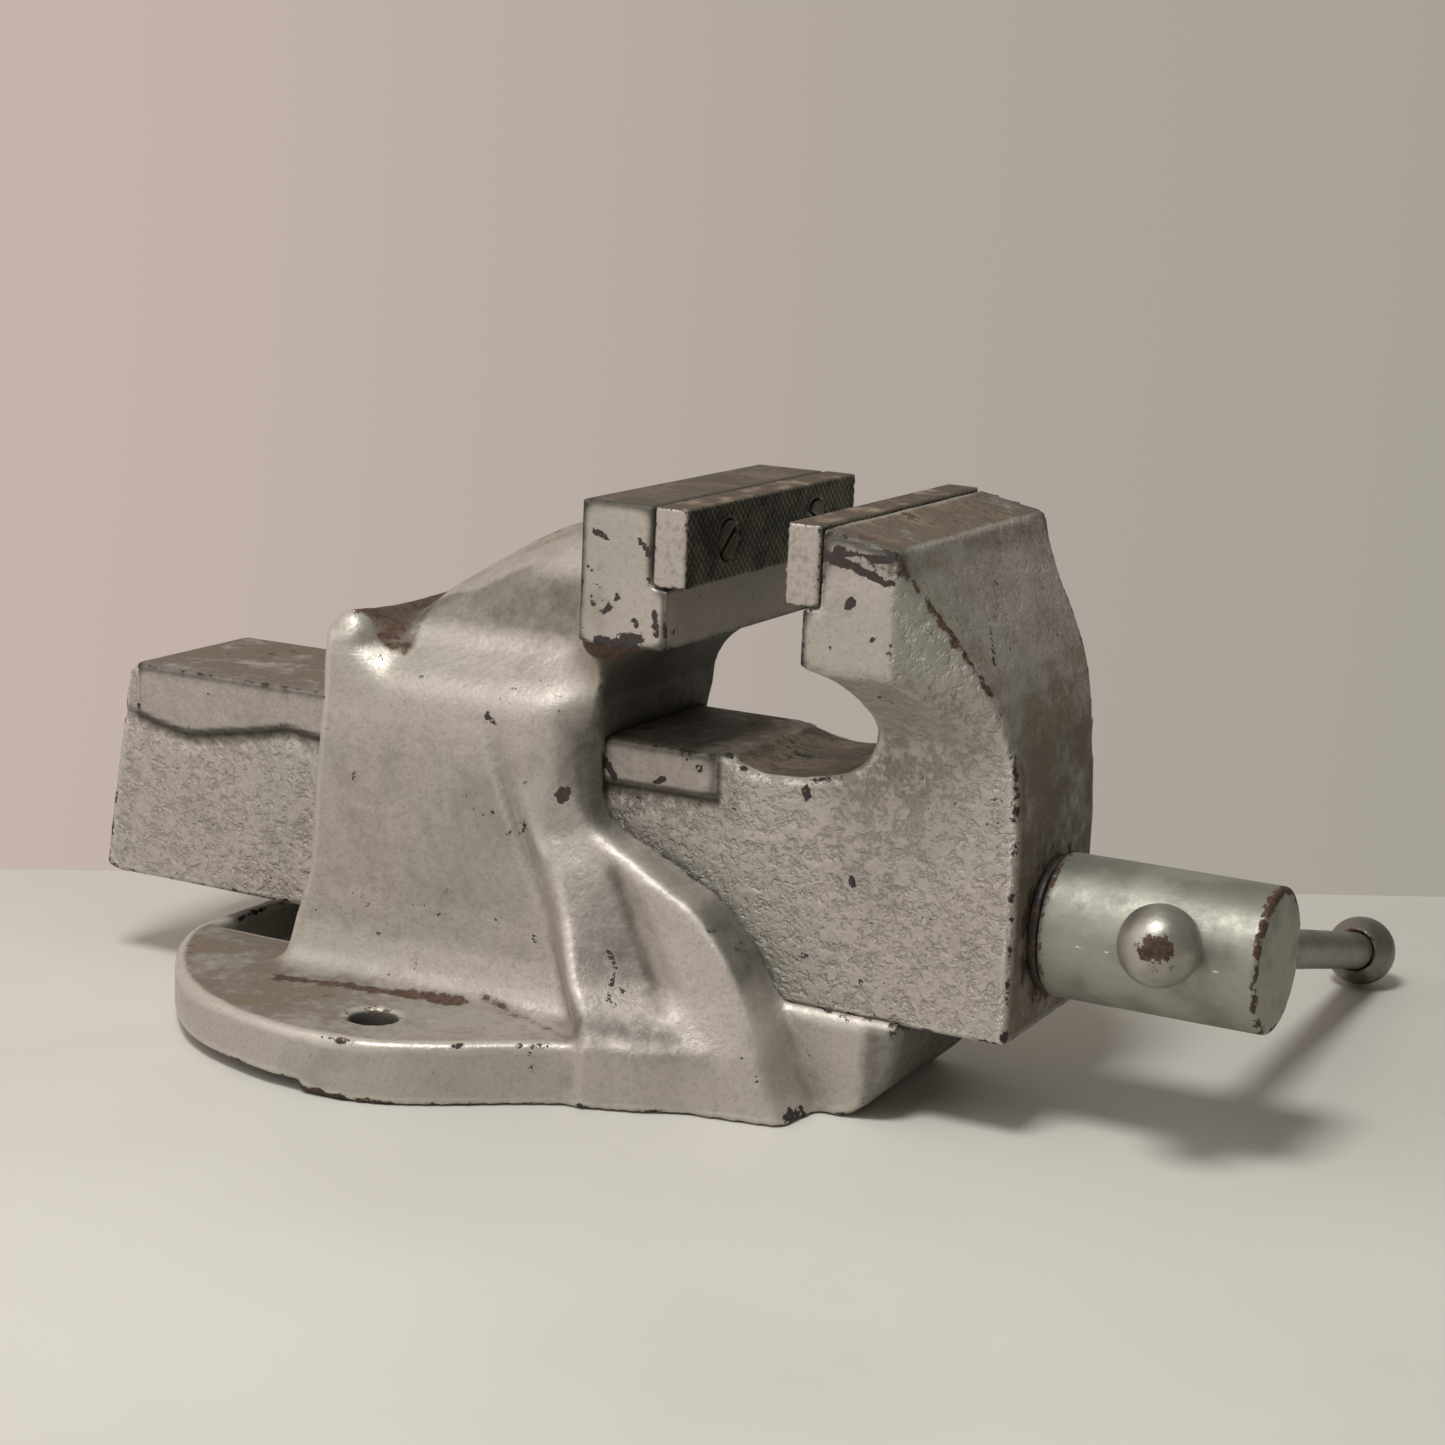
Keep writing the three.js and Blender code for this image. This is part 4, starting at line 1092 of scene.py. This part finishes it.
def paint_colour(look, wide, patch, fleck, fine, grimy):
    """The paint before rust and chips: two silvers, duller in patches, shaded in hollows, grimy, lighter at
    the edges from wear and painted highlight, and darkened with painted shade.
    """
    smooth = look.mask("smooth")
    edge = look.mask("edge")
    paint = look.mix(look.band(look.add(wide, look.times(smooth, -0.15)), 0.38, 0.62), PAINT_WARM, PAINT_COOL)
    # Duller paint in random patches, and painted shade in hollows.
    dull_and_hollow_shade = look.band(look.add(patch, look.times(look.mask("hollow"), 0.3)), 0.5, 0.78, 0.0, 0.75)
    paint = look.mix(dull_and_hollow_shade, paint, PAINT_DULL)
    paint = look.mix(look.band(fine, 0.34, 0.54, 0.35, 0.0), paint, PAINT_DULL)
    dirt = look.band(look.add(look.times(patch, 0.6), look.times(fleck, 0.4)), 0.42, 0.68)
    paint = look.mix(grimy, paint, look.mix(dirt, GRIME, GRIME_TAN))
    # Lighter at the edges: partly worn paint, partly a painted highlight.
    rubbed_and_highlit = look.band(look.add(edge, look.swing(patch, 0.8)), 0.08, 0.45, 0.0, 0.55)
    paint = look.mix(look.times(rubbed_and_highlit, look.add(1.0, look.times(smooth, -0.85))), paint, PAINT_BRIGHT)
    # Painted shade from the shade mask, with dark lines along the edges of smooth faces added in.
    lined = look.times(look.times(edge, smooth), 1.1)
    shade = look.add(look.mask("shade"), lined, look.swing(fleck, 0.5))
    return look.mix(look.band(shade, 0.1, 1.0, 0.0, 0.9), paint, SHADE)


def paint_chips(look, patch, fleck, wear, seed):
    """Where the paint is off: along worn edges, in scattered specks and at the knocks."""
    worn = look.add(look.times(look.mask("edge"), wear), look.swing(fleck, 2.0), look.swing(patch, 1.2))
    speck = look.add(look.noise(5.2, 4, 0.75, seed + 4), look.swing(patch, 0.35))
    knocked = look.add(look.mask("chip"), look.swing(fleck, 1.6))
    scattered = look.math("MAXIMUM", look.band(worn, 0.62, 0.72), look.band(speck, 0.66, 0.695))
    return look.math("MAXIMUM", scattered, look.band(knocked, 0.45, 0.55))


def plate_steel(name, seed):
    """Toothed jaw steel: dark and oily between the teeth, polished on the tips, painted at the ends."""
    look = Look(name)
    patch = look.noise(9, 4, 0.6, seed)
    fleck = look.noise(1.6, 4, 0.65, seed + 1)
    tips = look.add(look.mask("tips"), look.swing(patch, 1.1), look.times(fleck, 0.35))
    steel = look.mix(look.band(patch, 0.4, 0.6), STEEL_OILY, STEEL_DULL)
    steel = look.mix(look.times(look.band(tips, 0.62, 1.15), 0.8), steel, STEEL_TIPS)
    paint = look.mix(look.band(fleck, 0.45, 0.75), PAINT_WARM, PAINT_DULL)
    bare = look.band(look.add(fleck, look.times(look.mask("edge"), 0.3)), 0.72, 0.76)
    colour = look.mix(look.math("MAXIMUM", look.mask("face"), bare), paint, steel)
    rusty = look.add(look.mask("rust"), look.swing(fleck, 1.3), look.swing(patch, 1.3))
    rusty = look.band(rusty, 0.45, 0.7)
    colour = look.mix(rusty, colour, look.mix(look.band(patch, 0.48, 0.68), GRIME, GRIME_TAN))
    rough = look.blend(rusty, look.band(fleck, 0.3, 0.7, 0.34, 0.55), 0.75)
    look.relief(look.add(fleck, look.times(look.noise(0.7, 2, 0.5, seed + 3), 0.5)), 0.16)
    return look.finish(colour, rough, look.blend(rusty, 0.75, 0.1))


def worn_steel(name, tone, dirt, seed, rough=(0.28, 0.45), metal=0.85, grain=0.25):
    """Bare or thinly painted steel with rust spots, which follow the rust mask where there is one."""
    look = Look(name)
    patch = look.noise(14, 4, 0.6, seed)
    fleck = look.noise(2.6, 5, 0.68, seed + 1)
    fine = look.noise(0.8, 3, 0.6, seed + 2)
    colour = look.mix(look.band(patch, 0.4, 0.62), tone, tuple(0.72 * part for part in tone))
    rusty = look.add(look.mask("rust"), look.swing(fleck, 1.7), look.swing(patch, 0.9), dirt)
    scuffed = look.add(look.times(look.mask("edge"), 0.8), look.swing(fleck, 1.8))
    damage = look.math("MAXIMUM", look.band(rusty, 0.60, 0.72), look.band(scuffed, 0.55, 0.7))
    colour = look.mix(damage, colour, rust_colour(look, seed + 3))
    ragged = look.times(damage, look.add(look.times(fleck, 0.8), -0.5))
    look.relief(look.add(look.times(fine, grain), ragged), 0.2)
    return look.finish(colour, look.blend(damage, look.band(fleck, 0.3, 0.7, *rough), 0.78),
                       look.blend(damage, metal, 0.1))


def floor_material():
    look = Look("pale_board")
    cloud = look.noise(120, 3, 0.5, 2.0)
    colour = look.mix(look.band(cloud, 0.3, 0.7), (0.60, 0.59, 0.55), (0.64, 0.63, 0.585))
    look.relief(look.noise(6, 2, 0.5, 4.0), 0.02)
    return look.finish(colour, look.band(cloud, 0.3, 0.7, 0.5, 0.6), 0.0)


# ---- build the vise

LARGE = 1.25
FINE = 0.55


def build(name, node, step, field, body, slot, look, masks=None):
    """Carves one piece within its node's CAD box and puts it in the node's place."""
    block = Block.around(node, step)
    place(carved(name, block, field(block), masks), body, slot, look, node)


def build_castings():
    paint = silver_paint("body_paint", 0.12, 0.7, 1.0)
    build("body_shell", "body_casting", LARGE, body_field, "body", "silver_paint", paint, body_masks)
    paint = silver_paint("jaw_paint", 1.4, 0.8, 11.0)
    build("sliding_jaw_shell", "sliding_jaw_casting", LARGE, slide_field, "sliding_jaw", "silver_paint",
          paint, slide_masks)


def build_plates():
    screw_look = worn_steel("slotted_screw", (0.20, 0.19, 0.155), 0.12, 51.0)
    for side, body, face, into, seed in (
        ("fixed", "body", PLATE_LO[1], 1, 21.0),
        ("moving", "sliding_jaw", MOVING_HI[1], -1, 31.0),
    ):
        build(f"{side}_plate_teeth", f"{side}_jaw_plate", FINE, lambda block: plate_field(block, face, into),
              body, "jaw_steel", plate_steel(f"{side}_plate_steel", seed), plate_masks)
        for hand, x in (("left", -SCREW_X), ("right", SCREW_X)):
            build(f"{side}_slotted_{hand}", f"{side}_plate_screw_{hand}", 0.45,
                  lambda block: plate_screw_field(block, x, face, into), body, "fastener_steel", screw_look)


def build_spindle():
    silver = worn_steel("spindle_silver", (0.34, 0.335, 0.29), 0.02, 61.0, (0.46, 0.6), 0.7)
    dark = worn_steel("oily_steel", (0.05, 0.046, 0.042), 0.1, 71.0, (0.4, 0.6), 0.5)
    wire = worn_steel("spring_steel_wire", (0.22, 0.22, 0.21), 0.0, 75.0)
    build("spindle_and_thread", "main_screw", 0.8, spindle_field, "spindle", "screw_steel", silver,
          spindle_masks)
    for node, outer in (("thrust_washer", 18.1), ("spring_washer", 17.7)):
        build(f"{node}_ring", node, 0.5, lambda block: ring_field(block, node, outer),
              "spindle", "fastener_steel", dark)
    build("collar_ring", "retaining_collar", 0.6, collar_field, "spindle", "screw_steel", dark)
    build("collar_cross_pin", "collar_pin", 0.4, pin_field, "spindle", "fastener_steel", dark)
    place(coil_object(), "spindle", "spring_steel", wire, "take_up_spring")


def build_nut():
    iron = worn_steel("nut_cast_iron", (0.19, 0.175, 0.15), 0.12, 81.0, (0.45, 0.6), 0.6, 0.75)
    bright = worn_steel("bolt_steel", (0.26, 0.25, 0.22), 0.05, 85.0)
    build("nut_block", "main_nut", 0.9, nut_field, "body", "nut_iron", iron)
    build("nut_hex_bolt", "nut_bolt", 0.5, bolt_field, "body", "fastener_steel", bright)
    build("nut_washer_ring", "nut_bolt_washer", 0.45, washer_field, "body", "fastener_steel", bright)


def build_bar():
    grey = worn_steel("bar_grey", (0.24, 0.23, 0.20), 0.05, 91.0, (0.34, 0.5), 0.8)
    silver = worn_steel("ball_silver", (0.40, 0.385, 0.34), 0.05, 95.0, (0.34, 0.5), 0.8)
    build("bar_rod", "tommy_bar", 0.8, bar_field, "bar", "bar_steel", grey)
    build("bar_ball_near_knob", "bar_ball_near", 0.5, lambda block: ball_field(block, NEAR_BALL, 1),
          "bar", "bar_steel", silver, near_ball_masks)
    build("bar_ball_far_knob", "bar_ball_far", 0.5, lambda block: ball_field(block, FAR_BALL, -1),
          "bar", "bar_steel", grey)


# ---- stage, light and camera

def build_floor():
    """A pale table whose far edge runs where the wall stood, 0.3 m behind the vise."""
    reach = 2.4
    left = Vector((0.0306, 0.2915, 0))
    right = Vector((0.2929, -0.1192, 0))
    along = (right - left).normalized()
    toward = Vector((-abs(along.y), -abs(along.x), 0))
    left, right = left - along * reach, right + along * reach
    corners = [left, right, right + toward * reach, left + toward * reach]
    points = np.array([(c.x, c.y, -0.0002) for c in corners]) / MM
    floor = make_object("pale_table", points, [[0, 1, 2, 3]])
    if floor.data.polygons[0].normal.z < 0:
        floor.data.flip_normals()
    floor.data.materials.append(floor_material())


def build_world():
    """Soft surrounding light, warm behind the vise and dim in front of its jaws."""
    world = bpy.data.worlds.new("soft_room")
    bpy.context.scene.world = world
    world.use_nodes = True
    tree = world.node_tree
    place_node = tree.nodes.new("ShaderNodeTexCoord")
    split = tree.nodes.new("ShaderNodeSeparateXYZ")
    scale = tree.nodes.new("ShaderNodeMath")
    scale.operation = "MULTIPLY_ADD"
    scale.inputs[1].default_value = 0.5
    scale.inputs[2].default_value = 0.5
    ramp = tree.nodes.new("ShaderNodeValToRGB")
    stops = [(0.0, (0.13, 0.13, 0.115)), (0.45, (0.20, 0.195, 0.17)), (0.58, (0.366, 0.347, 0.296)),
             (0.715, (0.44, 0.386, 0.342)), (0.82, (0.558, 0.456, 0.418)), (1.0, (0.62, 0.52, 0.47))]
    for i, (at, colour) in enumerate(stops):
        stop = ramp.color_ramp.elements[i] if i < 2 else ramp.color_ramp.elements.new(at)
        stop.position = at
        stop.color = (*colour, 1)
    tree.links.new(place_node.outputs["Generated"], split.inputs[0])
    tree.links.new(split.outputs["Y"], scale.inputs[0])
    tree.links.new(scale.outputs[0], ramp.inputs[0])
    tree.links.new(ramp.outputs[0], tree.nodes["Background"].inputs["Color"])
    tree.nodes["Background"].inputs["Strength"].default_value = 1.0


def soft_lamp(name, place_at, size, power, colour):
    lamp = bpy.data.lights.new(name, "AREA")
    lamp.shape = "DISK"
    lamp.size = size
    lamp.energy = power
    lamp.color = colour
    obj = bpy.data.objects.new(name, lamp)
    obj.location = place_at
    obj.rotation_euler = (Vector((0, 0, 0.05)) - Vector(place_at)).to_track_quat("-Z", "Y").to_euler()
    bpy.context.collection.objects.link(obj)


def build_lights():
    soft_lamp("lamp", (-0.56, 0.0, 1.2), 0.36, 11.0, (1.0, 0.985, 0.96))
    soft_lamp("window", (-1.0, 0.6, 0.8), 1.6, 5.0, (1.0, 0.975, 0.96))


def build_camera():
    turn = Matrix.Rotation(-CAMERA_TURN, 4, "Z") @ Matrix.Rotation(math.pi / 2 - CAMERA_RISE, 4, "X")
    camera = bpy.data.objects.new("camera", bpy.data.cameras.new("camera"))
    camera.matrix_world = Matrix.Translation(CAMERA_PLACE) @ turn @ Matrix.Rotation(CAMERA_ROLL, 4, "Z")
    camera.data.lens = CAMERA_LENS
    camera.data.sensor_width = 36
    bpy.context.collection.objects.link(camera)
    bpy.context.scene.camera = camera


build_castings()
build_plates()
build_spindle()
build_nut()
build_bar()
build_floor()
build_world()
build_lights()
build_camera()
bpy.context.scene.view_settings.view_transform = "Standard"
